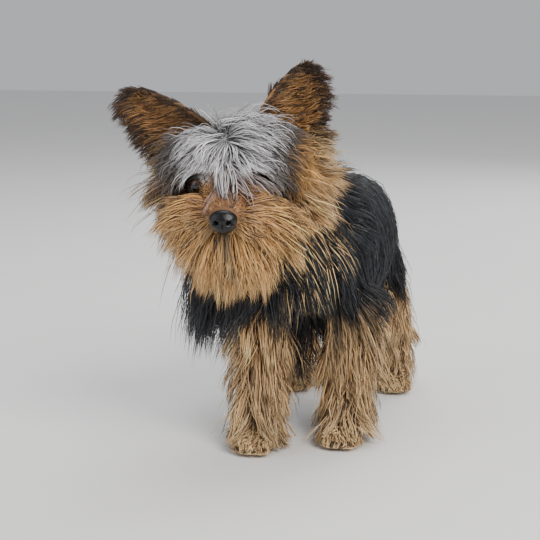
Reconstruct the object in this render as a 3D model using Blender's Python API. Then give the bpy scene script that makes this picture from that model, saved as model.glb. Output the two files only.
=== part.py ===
"""A yorkshire terrier, life size, standing with its head turned to its right.

Metres, +Z up. The dog faces -Y, and +X is its left side. It is laid out about a
point on the floor under its body, and the last step moves the whole dog so that
the origin is the middle of the bottom of its box. Flesh is a loft through egg
shaped sections; the long coat is flat tapered locks fused to it.
"""

import math
import random
from dataclasses import dataclass

import bmesh
import bpy
from mathutils import Matrix, Vector
from mathutils.bvhtree import BVHTree

# The gap that parts keep where they meet, and the wider one where a coat is laid over it later
GAP = 0.0003
CORE_GAP = 0.00045

# The head: middle of the skull, turn to the left and tip down, in degrees
HEAD_AT = Vector((-0.039, -0.121, 0.210))
HEAD_TURN = 8.0
HEAD_TIP = 12.0

# Face sizes, in the head's own frame
EYE_AT = Vector((0.0205, -0.0265, 0.0025))
EYE_RADIUS = 0.0085
NOSE_AT = Vector((0.0, -0.0625, -0.0095))
NOSE_WIDE = 0.0095
NOSE_HIGH = 0.0085
NOSE_DEEP = 0.0070

# The ears: base in the head's frame, height, and how they lean out in degrees
EAR_HIGH = 0.060
EAR_WIDE = 0.0225
EAR_THICK = 0.0022
EAR_CUP = 0.0085

# The soles: middle of each paw on the floor
PAW_AT = {
    "forepaw_left": Vector((0.029, -0.066, 0.0)),
    "forepaw_right": Vector((-0.031, -0.096, 0.0)),
    "hindpaw_left": Vector((0.044, 0.096, 0.0)),
    "hindpaw_right": Vector((-0.043, 0.082, 0.0)),
}
PAW_LONG = 0.034
PAW_WIDE = 0.026
PAW_HIGH = 0.019
SOLE_CUT = 0.0016
CLAW_LONG = 0.0055
CLAW_RADIUS = 0.0013

# Lids, half sizes of the opening and thickness of their rim
LID_WIDE = 0.0073
LID_HIGH = 0.0052
LID_LOW = 0.0047
LID_THICK = 0.0017

# Faces that lie this flat to each other, in degrees, are made one before they are split
FLAT = 2.0

# Points this close count as one when a surface is tested, and the step by which a failed cut is widened
HAIR = 0.000002
NUDGE = 0.000013
TRIES = 12

# The lowest that a lock comes to the floor
FLOOR_CLEAR = 0.0035

SHADES = {
    "black_coat": ((0.016, 0.018, 0.024), 0.45),
    "silver_coat": ((0.42, 0.42, 0.44), 0.5),
    "gold_coat": ((0.55, 0.30, 0.11), 0.55),
    "tan_coat": ((0.48, 0.29, 0.13), 0.6),
    "ear_coat": ((0.24, 0.10, 0.04), 0.6),
    "nose_leather": ((0.01, 0.01, 0.011), 0.3),
    "eye_glass": ((0.02, 0.012, 0.008), 0.08),
    "claw_horn": ((0.02, 0.017, 0.015), 0.35),
}


@dataclass(frozen=True)
class Section:
    """One egg shaped section of a loft: its middle, half width, and reach up and down."""

    at: tuple
    wide: float
    up: float
    down: float


def clear_scene():
    """Remove what a new file holds."""
    for thing in list(bpy.data.objects):
        bpy.data.objects.remove(thing, do_unlink=True)


def finish(name):
    """The material of this name, made once from its colour and roughness."""
    if name in bpy.data.materials:
        return bpy.data.materials[name]
    colour, rough = SHADES[name]
    made = bpy.data.materials.new(name)
    made.use_nodes = True
    shader = made.node_tree.nodes["Principled BSDF"]
    shader.inputs["Base Color"].default_value = (*colour, 1.0)
    shader.inputs["Roughness"].default_value = rough
    return made


def solid(name, points, faces, home):
    """A mesh object from points and faces, in the collection home."""
    mesh = bpy.data.meshes.new(name)
    mesh.from_pydata([tuple(p) for p in points], [], faces)
    mesh.update()
    made = bpy.data.objects.new(name, mesh)
    home.objects.link(made)
    return made


def collection(name):
    """A new collection in the scene."""
    made = bpy.data.collections.new(name)
    bpy.context.scene.collection.children.link(made)
    return made


def drop(things):
    """Remove objects and the meshes only they used."""
    for thing in list(things):
        mesh = thing.data
        bpy.data.objects.remove(thing, do_unlink=True)
        if mesh is not None and mesh.users == 0:
            bpy.data.meshes.remove(mesh)


def between(values, t):
    """A smooth curve through values at 0, 1, 2 and so on, read at t (Catmull-Rom)."""
    last = len(values) - 1
    i = min(int(t), last - 1)
    u = t - i
    a = values[max(i - 1, 0)]
    b = values[i]
    c = values[i + 1]
    d = values[min(i + 2, last)]
    return b + 0.5 * u * (c - a + u * (2 * a - 5 * b + 4 * c - d + u * (3 * (b - c) + d - a)))


def loft(name, sections, sides, rings, ahead, home, pose=None, grow=0.0):
    """A closed form through sections. ahead is the side that a section's up points to.

    The first and last sections are points. Each ring lies square to the path.
    """
    pose = pose or Matrix()
    middles = [Vector(s.at) for s in sections]
    last = len(sections) - 1
    points = []
    for ring in range(1, rings):
        t = last * ring / rings
        middle = between(middles, t)
        path = (between(middles, min(t + 0.05, last)) - between(middles, max(t - 0.05, 0))).normalized()
        side = path.cross(ahead).normalized()
        up = side.cross(path)
        wide = max(between([s.wide for s in sections], t), 0.0008) + grow
        high = max(between([s.up for s in sections], t), 0.0008) + grow
        low = max(between([s.down for s in sections], t), 0.0008) + grow
        for k in range(sides):
            turn = 2 * math.pi * k / sides
            reach = high if math.sin(turn) > 0 else low
            points.append(middle + side * (wide * math.cos(turn)) + up * (reach * math.sin(turn)))
    step_in = (middles[1] - middles[0]).normalized() * grow
    step_out = (middles[-1] - middles[-2]).normalized() * grow
    points += [middles[0] - step_in, middles[-1] + step_out]
    first, final = len(points) - 2, len(points) - 1
    faces = []
    for k in range(sides):
        n = (k + 1) % sides
        faces.append((first, k, n))
        for ring in range(rings - 2):
            a = ring * sides
            faces.append((a + k, a + sides + k, a + sides + n, a + n))
        a = (rings - 2) * sides
        faces.append((a + k, final, a + n))
    made = solid(name, [pose @ p for p in points], faces, home)
    face_out(made)
    return made


def face_out(thing):
    """Turn the faces of a closed mesh outwards, and split them into triangles."""
    work = bmesh.new()
    work.from_mesh(thing.data)
    bmesh.ops.triangulate(work, faces=work.faces)
    bmesh.ops.recalc_face_normals(work, faces=work.faces)
    if work.calc_volume(signed=True) < 0:
        bmesh.ops.reverse_faces(work, faces=work.faces)
    work.to_mesh(thing.data)
    work.free()


def apply_modifiers(thing):
    """Replace an object's mesh by what its modifiers make of it."""
    graph = bpy.context.evaluated_depsgraph_get()
    mesh = bpy.data.meshes.new_from_object(thing.evaluated_get(graph))
    thing.modifiers.clear()
    old = thing.data
    thing.data = mesh
    bpy.data.meshes.remove(old)


def boolean(thing, pieces, operation, solver="MANIFOLD"):
    """Join to a thing, or cut from it, every closed mesh of a collection."""
    work = thing.modifiers.new(operation.lower(), "BOOLEAN")
    work.operation = operation
    work.operand_type = "COLLECTION"
    work.collection = pieces
    work.solver = solver
    apply_modifiers(thing)


def keep_largest(thing):
    """Keep only the closed surface with the most volume, with its flat faces made one, as triangles."""
    work = bmesh.new()
    work.from_mesh(thing.data)
    bmesh.ops.triangulate(work, faces=work.faces)
    best = []
    most = 0.0
    seen = set()
    for start in work.faces:
        if start in seen:
            continue
        seen.add(start)
        shell = [start]
        for face in shell:
            for edge in face.edges:
                for other in edge.link_faces:
                    if other not in seen:
                        seen.add(other)
                        shell.append(other)
        volume = 0.0
        for face in shell:
            a, b, c = (corner.co for corner in face.verts)
            volume += a.dot(b.cross(c)) / 6
        if volume > most:
            best, most = shell, volume
    kept = set(best)
    bmesh.ops.delete(work, geom=[face for face in work.faces if face not in kept], context="FACES")
    bmesh.ops.dissolve_limit(work, angle_limit=math.radians(FLAT), verts=work.verts, edges=work.edges)
    bmesh.ops.triangulate(work, faces=work.faces)
    work.to_mesh(thing.data)
    work.free()


def sound(thing):
    """Whether a mesh is still one closed surface once points a hair apart are joined."""
    work = bmesh.new()
    work.from_mesh(thing.data)
    bmesh.ops.remove_doubles(work, verts=work.verts, dist=HAIR)
    closed = all(len(edge.link_faces) == 2 for edge in work.edges)
    seen = set()
    shells = 0
    for start in work.faces:
        if start in seen:
            continue
        shells += 1
        seen.add(start)
        shell = [start]
        for face in shell:
            for edge in face.edges:
                for other in edge.link_faces:
                    if other not in seen:
                        seen.add(other)
                        shell.append(other)
    work.free()
    return closed and shells == 1


def ball(name, at, radii, home, pose=None, rings=8, segments=14):
    """An ellipsoid from a unit sphere, placed in the pose's frame."""
    work = bmesh.new()
    bmesh.ops.create_uvsphere(work, u_segments=segments, v_segments=rings, radius=1.0)
    place = (pose or Matrix()) @ Matrix.Translation(at) @ Matrix.Diagonal((*radii, 1.0))
    bmesh.ops.transform(work, matrix=place, verts=work.verts)
    mesh = bpy.data.meshes.new(name)
    work.to_mesh(mesh)
    work.free()
    made = bpy.data.objects.new(name, mesh)
    home.objects.link(made)
    face_out(made)
    return made


def head_pose():
    """The matrix from the head's own frame, where the face looks along -Y, to the dog's."""
    turn = Matrix.Rotation(math.radians(HEAD_TURN), 4, "Z")
    tip = Matrix.Rotation(math.radians(HEAD_TIP), 4, "X")
    return Matrix.Translation(HEAD_AT) @ turn @ tip


UP = Vector((0, 0, 1))
DOWN = Vector((0, 0, -1))
FRONT = Vector((0, -1, 0))

TORSO = (
    Section((-0.004, -0.090, 0.138), 0.000, 0.000, 0.000),
    Section((-0.004, -0.080, 0.138), 0.024, 0.026, 0.026),
    Section((-0.003, -0.062, 0.140), 0.035, 0.044, 0.044),
    Section((-0.002, -0.035, 0.143), 0.041, 0.058, 0.054),
    Section((0.000, 0.000, 0.144), 0.043, 0.056, 0.053),
    Section((0.001, 0.035, 0.146), 0.042, 0.050, 0.049),
    Section((0.001, 0.065, 0.148), 0.041, 0.046, 0.044),
    Section((0.001, 0.090, 0.148), 0.033, 0.037, 0.036),
    Section((0.001, 0.105, 0.149), 0.018, 0.020, 0.022),
    Section((0.001, 0.111, 0.150), 0.000, 0.000, 0.000),
)
NECK = (
    Section((-0.002, -0.030, 0.158), 0.000, 0.000, 0.000),
    Section((-0.005, -0.042, 0.164), 0.028, 0.027, 0.030),
    Section((-0.014, -0.066, 0.177), 0.031, 0.029, 0.033),
    Section((-0.026, -0.090, 0.191), 0.028, 0.026, 0.029),
    Section((-0.035, -0.108, 0.201), 0.022, 0.020, 0.022),
    Section((-0.038, -0.115, 0.205), 0.000, 0.000, 0.000),
)
HEAD = (
    Section((0.0, 0.037, 0.000), 0.000, 0.000, 0.000),
    Section((0.0, 0.031, 0.000), 0.018, 0.017, 0.016),
    Section((0.0, 0.018, 0.000), 0.029, 0.028, 0.026),
    Section((0.0, 0.002, 0.000), 0.034, 0.033, 0.029),
    Section((0.0, -0.014, 0.000), 0.033, 0.030, 0.030),
    Section((0.0, -0.027, -0.002), 0.028, 0.022, 0.024),
    Section((0.0, -0.036, -0.006), 0.019, 0.0125, 0.015),
    Section((0.0, -0.048, -0.0085), 0.0145, 0.0095, 0.0105),
    Section((0.0, -0.058, -0.0095), 0.0125, 0.0090, 0.0085),
    Section((0.0, -0.0630, -0.0095), 0.0085, 0.0060, 0.0060),
    Section((0.0, -0.0655, -0.0095), 0.000, 0.000, 0.000),
)
JAW = (
    Section((0.0, -0.012, -0.0250), 0.000, 0.000, 0.000),
    Section((0.0, -0.020, -0.0250), 0.0140, 0.0085, 0.0075),
    Section((0.0, -0.034, -0.0240), 0.0125, 0.0085, 0.0070),
    Section((0.0, -0.047, -0.0225), 0.0105, 0.0060, 0.0065),
    Section((0.0, -0.0545, -0.0215), 0.0070, 0.0045, 0.0050),
    Section((0.0, -0.0590, -0.0205), 0.000, 0.000, 0.000),
)
TAIL = (
    Section((0.001, 0.096, 0.168), 0.0000, 0.0000, 0.0000),
    Section((0.001, 0.103, 0.167), 0.0085, 0.0085, 0.0085),
    Section((0.000, 0.116, 0.160), 0.0080, 0.0080, 0.0080),
    Section((-0.001, 0.126, 0.146), 0.0068, 0.0068, 0.0068),
    Section((-0.002, 0.131, 0.128), 0.0050, 0.0050, 0.0050),
    Section((-0.003, 0.133, 0.110), 0.0000, 0.0000, 0.0000),
)


def foreleg(side, foot):
    """Sections of a foreleg from inside the chest to the top of its paw."""
    x, y = foot.x, foot.y
    return (
        Section((side * 0.026, -0.056, 0.132), 0.000, 0.000, 0.000),
        Section((side * 0.028, -0.057, 0.124), 0.0125, 0.018, 0.018),
        Section((side * 0.031, 0.4 * y - 0.032, 0.104), 0.0125, 0.017, 0.018),
        Section((side * 0.032, 0.6 * y - 0.018, 0.082), 0.0115, 0.0125, 0.0135),
        Section((x, 0.9 * y + 0.004, 0.050), 0.0095, 0.0095, 0.0100),
        Section((x, y + 0.009, 0.028), 0.0092, 0.0092, 0.0092),
        Section((x, y + 0.006, 0.014), 0.0095, 0.0095, 0.0090),
        Section((x, y + 0.005, 0.007), 0.000, 0.000, 0.000),
    )


def hindleg(side, foot):
    """Sections of a hind leg: thigh, knee, hock and the straight foot below it."""
    x, y = foot.x, foot.y
    return (
        Section((side * 0.024, 0.062, 0.152), 0.000, 0.000, 0.000),
        Section((side * 0.026, 0.062, 0.145), 0.0150, 0.024, 0.024),
        Section((side * 0.031, 0.060, 0.120), 0.0155, 0.027, 0.026),
        Section((side * 0.036, 0.45 * y + 0.020, 0.094), 0.0140, 0.019, 0.022),
        Section((side * 0.040, y - 0.012, 0.068), 0.0105, 0.0115, 0.0125),
        Section((x, y + 0.011, 0.046), 0.0088, 0.0088, 0.0092),
        Section((x, y + 0.009, 0.026), 0.0082, 0.0082, 0.0082),
        Section((x, y + 0.006, 0.014), 0.0090, 0.0090, 0.0085),
        Section((x, y + 0.005, 0.007), 0.000, 0.000, 0.000),
    )


def ear_pose(side):
    """The frame of an ear: +Z from base to tip, +X outwards, -Y the way its cup opens."""
    if side > 0:
        base, out, back, spin = Vector((0.0300, 0.006, 0.0200)), 17.0, -4.0, 16.0
    else:
        base, out, back, spin = Vector((-0.0305, 0.006, 0.0165)), 52.0, -6.0, 18.0
    lean = Matrix.Rotation(math.radians(side * out), 4, "Y")
    tilt = Matrix.Rotation(math.radians(back), 4, "X")
    turn = Matrix.Rotation(math.radians(side * spin), 4, "Z")
    return head_pose() @ Matrix.Translation(base) @ lean @ tilt @ turn


def ear_point(side, u, v, depth, grow=0.0):
    """A point of the leather, from base u=0 to tip u=1, across v=-1 to 1, behind the front by depth."""
    half = EAR_WIDE * (1 - u) ** 0.62 * (0.80 + 0.75 * u - 0.35 * u * u) + 1.5 * grow
    hollow = EAR_CUP * (1 - u) ** 0.5 * (1 - v * v)
    rise = EAR_HIGH * u - 0.006 + 2.0 * grow * u
    return ear_pose(side) @ Vector((half * v, hollow + depth - 0.14 * EAR_WIDE * u * u, rise))


def ear_leather(name, side, home, grow=0.0, rows=6, columns=6):
    """A pointed cup: a front and a back grid joined along their rim, closed at the tip."""
    points = []
    for depth in (-1.3 * grow, EAR_THICK + 1.3 * grow):
        for i in range(rows):
            for j in range(columns + 1):
                points.append(ear_point(side, i / rows * 0.98, 2 * j / columns - 1, depth, grow))
    tip = len(points)
    points.append(ear_point(side, 1.0, 0.0, EAR_THICK / 2, grow))
    row = columns + 1
    back = rows * row
    faces = []
    for i in range(rows - 1):
        for j in range(columns):
            a = i * row + j
            faces.append((a, a + 1, a + row + 1, a + row))
            faces.append((back + a, back + a + row, back + a + row + 1, back + a + 1))
        left, right = i * row, i * row + columns
        faces.append((left, left + row, back + left + row, back + left))
        faces.append((right, back + right, back + right + row, right + row))
    for j in range(columns):
        faces.append((j, back + j, back + j + 1, j + 1))
        top = (rows - 1) * row + j
        faces.append((top, top + 1, tip))
        faces.append((back + top + 1, back + top, tip))
    left, right = (rows - 1) * row, (rows - 1) * row + columns
    faces.append((left, tip, back + left))
    faces.append((right, back + right, tip))
    made = solid(name, points, faces, home)
    face_out(made)
    return made


def ear_form(side, skull):
    """A maker of one ear that ends just clear of the skull it stands on."""

    def make(name, home, grow):
        leather = ear_leather(name, side, home, grow)
        block = collection("skull")
        skull("skull", block, CORE_GAP - grow)
        boolean(leather, block, "DIFFERENCE")
        clear_collection(block)
        keep_largest(leather)
        return leather

    return make


def paw(name, at, home, grow=0.0):
    """A foot of one pad and four toes, flattened where it meets the floor."""
    pieces = collection("toes")
    middle = at + Vector((0, 0.003, PAW_HIGH * 0.46))
    radii = (PAW_WIDE * 0.45 + grow, PAW_LONG * 0.40 + grow, PAW_HIGH * 0.50 + grow)
    made = ball(name, middle, radii, home, rings=4, segments=8)
    for toe in range(4):
        spread = (toe - 1.5) / 1.5
        forward = -PAW_LONG * (0.30 - 0.075 * spread * spread)
        spot = at + Vector((PAW_WIDE * 0.335 * spread, forward, PAW_HIGH * 0.34))
        ball("toe", spot, (0.0050 + grow, 0.0082 + grow, 0.0066 + grow), pieces, rings=3, segments=6)
    boolean(made, pieces, "UNION")
    clear_collection(pieces)
    keep_largest(made)
    if grow == 0.0:
        flatten(made)
    return made


def at_floor(thing):
    """The point of the floor below a mesh's first point."""
    x, y, _ = thing.data.vertices[0].co
    return Vector((x, y, 0.0))


def flatten(thing):
    """Cut a foot off level at the floor."""
    block = collection("floor")
    work = bmesh.new()
    bmesh.ops.create_cube(work, size=0.1)
    bmesh.ops.translate(work, verts=work.verts, vec=at_floor(thing) - UP * 0.05)
    mesh = bpy.data.meshes.new("floor")
    work.to_mesh(mesh)
    work.free()
    block.objects.link(bpy.data.objects.new("floor", mesh))
    boolean(thing, block, "DIFFERENCE")
    drop(block.objects)
    bpy.data.collections.remove(block)
    keep_largest(thing)


def claw(name, at, toe, home, grow=0.0):
    """A short curved horn just ahead of a toe, clear of it and of the floor."""
    spread = (toe - 1.5) / 1.5
    forward = -PAW_LONG * (0.30 - 0.075 * spread * spread) - 0.0082
    root = at + Vector((PAW_WIDE * 0.335 * spread, forward + 0.0002, PAW_HIGH * 0.33))
    lean = Vector((0.18 * spread, -1.0, -0.35)).normalized()
    sections = []
    for step, width in ((-0.15, 0.0), (0.0, 1.0), (0.4, 0.95), (0.8, 0.5), (1.0, 0.0)):
        spot = root + lean * (CLAW_LONG * step) + DOWN * (CLAW_LONG * 0.28 * step * step)
        girth = CLAW_RADIUS * width
        sections.append(Section(tuple(spot), girth, girth, girth))
    return loft(name, sections, 5, 4, UP, home, None, grow)


def nose_pieces(home, grow=0.0):
    """The leather of the nose as one ball."""
    radii = (NOSE_WIDE + grow, NOSE_DEEP + grow, NOSE_HIGH + grow)
    return ball("nose", NOSE_AT, radii, home, head_pose(), rings=6, segments=11)


def pierce_nose(leather):
    """Cut a nostril and its slit on each side of the nose, and the groove between them."""
    pose = head_pose()
    holes = collection("nostrils")
    for side in (-1, 1):
        spot = NOSE_AT + Vector((side * 0.0040, -0.0056, 0.0006))
        ball("hole", spot, (0.0020, 0.0034, 0.0019), holes, pose, rings=3, segments=6)
        slit = NOSE_AT + Vector((side * 0.0068, -0.0044, -0.0014))
        ball("slit", slit, (0.0026, 0.0030, 0.0009), holes, pose, rings=3, segments=5)
    groove = NOSE_AT + Vector((0, -0.0068, -0.0052))
    ball("groove", groove, (0.0006, 0.0022, 0.0046), holes, pose, rings=3, segments=5)
    boolean(leather, holes, "DIFFERENCE")
    clear_collection(holes)
    keep_largest(leather)


def lid(side, home, grow=0.0):
    """The rim of both lids round one eye, almond shaped, with the upper one overhanging."""
    pose = head_pose()
    middle = Vector((side * EYE_AT.x, EYE_AT.y, EYE_AT.z))
    outward = Vector((side * 0.45, -1.0, 0.05)).normalized()
    across = UP.cross(outward).normalized()
    rise = outward.cross(across)
    points = []
    faces = []
    rounds, ring = 10, 4
    for k in range(rounds):
        turn = 2 * math.pi * k / rounds
        radial = across * math.cos(turn) + rise * math.sin(turn)
        high = LID_HIGH if math.sin(turn) > 0 else LID_LOW
        spot = middle + outward * (EYE_RADIUS * 0.60) + across * (LID_WIDE * math.cos(turn))
        spot += rise * (high * math.sin(turn))
        for j in range(ring):
            bend = 2 * math.pi * j / ring
            rim = radial * ((LID_THICK + 1.5 * grow) * math.cos(bend))
            rim += outward * ((LID_THICK * 1.1 + 1.5 * grow) * math.sin(bend))
            points.append(pose @ (spot + rim))
    for k in range(rounds):
        n = (k + 1) % rounds
        for j in range(ring):
            m = (j + 1) % ring
            faces.append((k * ring + j, n * ring + j, n * ring + m, k * ring + m))
    made = solid("lid", points, faces, home)
    face_out(made)
    return made


def lip(home, grow=0.0):
    """The edge of the upper lip: a thin ridge along each side of the muzzle, meeting under the nose."""
    pose = head_pose()
    points = []
    faces = []
    spans, ring = 8, 4
    for k in range(spans + 1):
        t = 2 * k / spans - 1
        bend = abs(t)
        spot = Vector((t * (0.0165 - 0.003 * bend), -0.0590 + 0.031 * bend ** 2.2, -0.0178 - 0.0030 * bend))
        thick = 0.0013 * (1 - 0.55 * bend ** 4) + 1.5 * grow
        for j in range(ring):
            turn = 2 * math.pi * (j + 0.5) / ring
            points.append(pose @ (spot + Vector((0, -thick * math.cos(turn), thick * 1.3 * math.sin(turn)))))
    for k in range(spans):
        for j in range(ring):
            m = (j + 1) % ring
            a = k * ring
            faces.append((a + j, a + ring + j, a + ring + m, a + m))
    faces.append(tuple(range(ring)))
    faces.append(tuple(spans * ring + j for j in range(ring)))
    made = solid("lip", points, faces, home)
    face_out(made)
    return made


def clear_collection(home):
    """Remove a collection and all it holds."""
    drop(home.objects)
    bpy.data.collections.remove(home)


@dataclass(frozen=True)
class Lock:
    """The sizes of a lock: length, width, thickness, height over the flesh, and how it leaves and falls."""

    long: float
    wide: float
    thick: float
    lift: float
    fall: float
    cling: float = 0.4
    stand: float = 0.35


def on_form(sections, ahead, t, turn, pose=None):
    """The point of a loft at t along its sections and turn degrees round it, and its way out."""
    pose = pose or Matrix()
    middles = [Vector(s.at) for s in sections]
    last = len(sections) - 1

    def spot(t, turn):
        path = between(middles, min(t + 0.05, last)) - between(middles, max(t - 0.05, 0))
        side = path.normalized().cross(ahead).normalized()
        up = side.cross(path.normalized())
        reach = [s.up if math.sin(turn) > 0 else s.down for s in sections]
        point = between(middles, t) + side * (between([s.wide for s in sections], t) * math.cos(turn))
        return point + up * (between(reach, t) * math.sin(turn))

    turn = math.radians(turn)
    here = spot(t, turn)
    along = spot(min(t + 0.08, last), turn) - spot(max(t - 0.08, 0), turn)
    around = spot(t, turn + 0.05) - spot(t, turn - 0.05)
    out = along.cross(around).normalized()
    if out.dot(here - between(middles, t)) < 0:
        out = -out
    return pose @ here, (pose.to_3x3() @ out).normalized()


class Flesh:
    """What the coat lies over: the surface of all the bare forms together, and the floor."""

    def __init__(self, cores):
        points = []
        faces = []
        for core in cores:
            start = len(points)
            points += [vert.co.copy() for vert in core.data.vertices]
            faces += [tuple(start + i for i in face.vertices) for face in core.data.polygons]
        self.tree = BVHTree.FromPolygons(points, faces)
        self.each = []
        for core in cores:
            spots = [vert.co.copy() for vert in core.data.vertices]
            sides = [tuple(face.vertices) for face in core.data.polygons]
            self.each.append((core.name, BVHTree.FromPolygons(spots, sides)))

    def buried(self, name, point):
        """Whether a point of one form lies inside another."""
        for other, tree in self.each:
            if other != name:
                near, normal, _, _ = tree.find_nearest(point)
                if (point - near).dot(normal) < 0.0005:
                    return True
        return False

    def above(self, point, want, cling):
        """A point moved out to at least this height, or drawn part of the way down to it."""
        near, normal, _, _ = self.tree.find_nearest(point)
        height = (point - near).dot(normal)
        if height < want:
            point = point + normal * (want - height)
        else:
            point = point - normal * ((height - want) * cling)
        if point.z < FLOOR_CLEAR:
            point.z = FLOOR_CLEAR
        return point, normal


STEPS = 14


def lock_path(flesh, root, out, flow, lock, sink):
    """The middle line of a lock: from inside the flesh, out over it, and down as it falls."""
    flow = ((flow - out * flow.dot(out)).normalized() + out * lock.stand).normalized()
    way = flow
    spot = root - out * sink
    path = [(spot, out)]
    spot = root + out * (lock.thick * 0.2)
    step = lock.long / STEPS
    for k in range(STEPS):
        done = (k + 1) / STEPS
        way = (way + DOWN * (lock.fall * step * 30 * (0.3 + done))).normalized()
        nxt, out_here = flesh.above(spot + way * step, lock.lift * (0.08 + 0.92 * done), lock.cling)
        moved = (nxt - spot)
        way = (way * 0.4 + moved.normalized() * 0.6).normalized()
        spot = nxt
        path.append((spot, out_here))
    return path


RINGS = (0, 0.40, 0.78)
WIDTHS = (0.75, 1.0, 0.72)
TWIST = 0.3


def lock_rings(path, lock):
    """Where the rings of a lock stand: middle, way ahead, side, up, half width, and reach up and down."""
    last = len(path) - 1
    rings = []
    held = None
    for ring, (at, width) in enumerate(zip(RINGS, WIDTHS)):
        k = round(at * last)
        spot, out = path[k]
        ahead = (path[min(k + 1, last)][0] - path[max(k - 1, 0)][0]).normalized()
        side = (path[k + 2][0] - path[k + 1][0]).cross(out) if ring == 0 else ahead.cross(out)
        if held is not None:
            carried = (held - ahead * held.dot(ahead)).normalized()
            side = carried + side * (TWIST if side.dot(carried) > 0 else 0.0)
        side.normalize()
        held = side
        thick = lock.thick * (0.6 if ring == 0 else width)
        rings.append((spot, ahead, side, side.cross(ahead), lock.wide * width / 2, thick * 0.65, thick * 0.35))
    return rings


def fair(path, lock):
    """Whether each ring of a lock lies wholly ahead of the one before it, so that it never folds."""
    rings = lock_rings(path, lock)
    for one, two in zip(rings, rings[1:]):
        room = (two[0] - one[0]).dot(one[1]) - 0.0008
        back = (two[0] - one[0]).dot(two[1]) - 0.0008
        slope = max(abs(two[2].dot(one[1])) * two[4], abs(two[3].dot(one[1])) * two[5])
        slant = max(abs(one[2].dot(two[1])) * one[4], abs(one[3].dot(two[1])) * one[5])
        if slope > room or slant > back:
            return False
    return (path[-1][0] - rings[-1][0]).dot(rings[-1][1]) > 0.001


def tube(name, rings, end, home):
    """A closed form through rings of corners, with a flat start, and a point or a flat end."""
    count = len(rings[0])
    points = [point for ring in rings for point in ring]
    faces = [(0, j, j + 1) for j in range(1, count - 1)]
    for ring in range(len(rings) - 1):
        a = count * ring
        for j in range(count):
            m = (j + 1) % count
            faces += [(a + j, a + count + j, a + m), (a + m, a + count + j, a + count + m)]
    a = count * (len(rings) - 1)
    if end is None:
        faces += [(a, a + j + 1, a + j) for j in range(1, count - 1)]
    else:
        points.append(end)
        faces += [(a + j, len(points) - 1, a + (j + 1) % count) for j in range(count)]
    swept = sum(points[f[0]].dot(points[f[1]].cross(points[f[2]])) for f in faces)
    if swept < 0:
        faces = [tuple(reversed(f)) for f in faces]
    return solid(name, points, faces, home)


def lock_piece(name, path, lock, home, grow=0.0):
    """A lock as a closed form: a flat base, a ridge along its outer face, and a pointed tip."""
    rings = []
    for spot, ahead, side, up, half, high, low in lock_rings(path, lock):
        base = spot - up * (low + grow)
        rings.append([base - side * (half + grow), spot + up * (high + grow), base + side * (half + grow)])
    return tube(name, rings, path[-1][0], home)


def lock_cutter(name, path, lock, home, grow):
    """The same lock swollen by a gap on every side, with upright edges and a blunt end."""
    rings = []
    places = lock_rings(path, lock)
    tip = path[-1][0]
    way = (tip - path[-2][0]).normalized()
    _, _, side, up, _, _, _ = places[-1]
    places.append((tip + way * grow, way, side, up, 0.2 * grow, 0.2 * grow, 0.2 * grow))
    for k, (spot, ahead, side, up, half, high, low) in enumerate(places):
        if k == 0:
            spot = spot - ahead * grow
        edge = side * (half + 1.2 * grow)
        base = spot - up * (low + 1.1 * grow)
        brow = spot - up * (low - 1.2 * grow)
        rings.append([base - edge, brow - edge, spot + up * (high + 1.3 * grow), brow + edge, base + edge])
    return tube(name, rings, None, home)


class Node:
    """One named part: its bare form, its locks, and what clears the parts it lies over."""

    def __init__(self, name, form):
        self.name = name
        self.form = form
        self.extra = []
        self.locks = []

    def build(self, home):
        """The bare form and its locks fused into one closed body."""
        for tries in range(TRIES):
            made = self.form(self.name, home, 0.0)
            pieces = collection("pieces")
            for add in self.extra:
                add(pieces)
            for k, (path, lock) in enumerate(self.locks):
                lock_piece("lock_%03d" % k, path, lock, pieces, tries * NUDGE)
            if len(pieces.objects):
                boolean(made, pieces, "UNION")
            clear_collection(pieces)
            keep_largest(made)
            if sound(made) or tries == TRIES - 1:
                return made
            drop([made])

    def cutters(self, home, near, more, margin=0.002):
        """The form and the locks that come near a box, each swollen by the gap and a little more."""
        made = [self.form(self.name + "_cutter", home, GAP + more)]
        made += [lock_cutter("cutter", path, lock, home, GAP + more) for path, lock in self.locks]
        made += [add(home, GAP + more) for add in self.extra]
        for thing in made:
            if not touches(box_of(thing), near, margin):
                drop([thing])


def box_of(thing):
    """The lowest and highest corners of a mesh."""
    spots = [vert.co for vert in thing.data.vertices]
    low = Vector(min(s[i] for s in spots) for i in range(3))
    high = Vector(max(s[i] for s in spots) for i in range(3))
    return low, high


def touches(one, two, margin):
    """Whether two boxes come within a margin of each other."""
    return all(one[0][i] - margin < two[1][i] and two[0][i] - margin < one[1][i] for i in range(3))


def cut_clear(thing, nodes, forms=()):
    """Cut a thing back so that it clears each node, and each (form, gap) besides.

    A cut that leaves a surface touching itself is made again a little wider.
    """
    whole = thing.data
    near = box_of(thing)
    for tries in range(TRIES):
        thing.data = whole.copy()
        cutters = collection("cutters")
        for node in nodes:
            node.cutters(cutters, near, tries * NUDGE)
        for form, gap in forms:
            form("form", cutters, gap + tries * NUDGE)
        if len(cutters.objects):
            boolean(thing, cutters, "DIFFERENCE")
        clear_collection(cutters)
        keep_largest(thing)
        if sound(thing):
            break
    return thing


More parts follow.
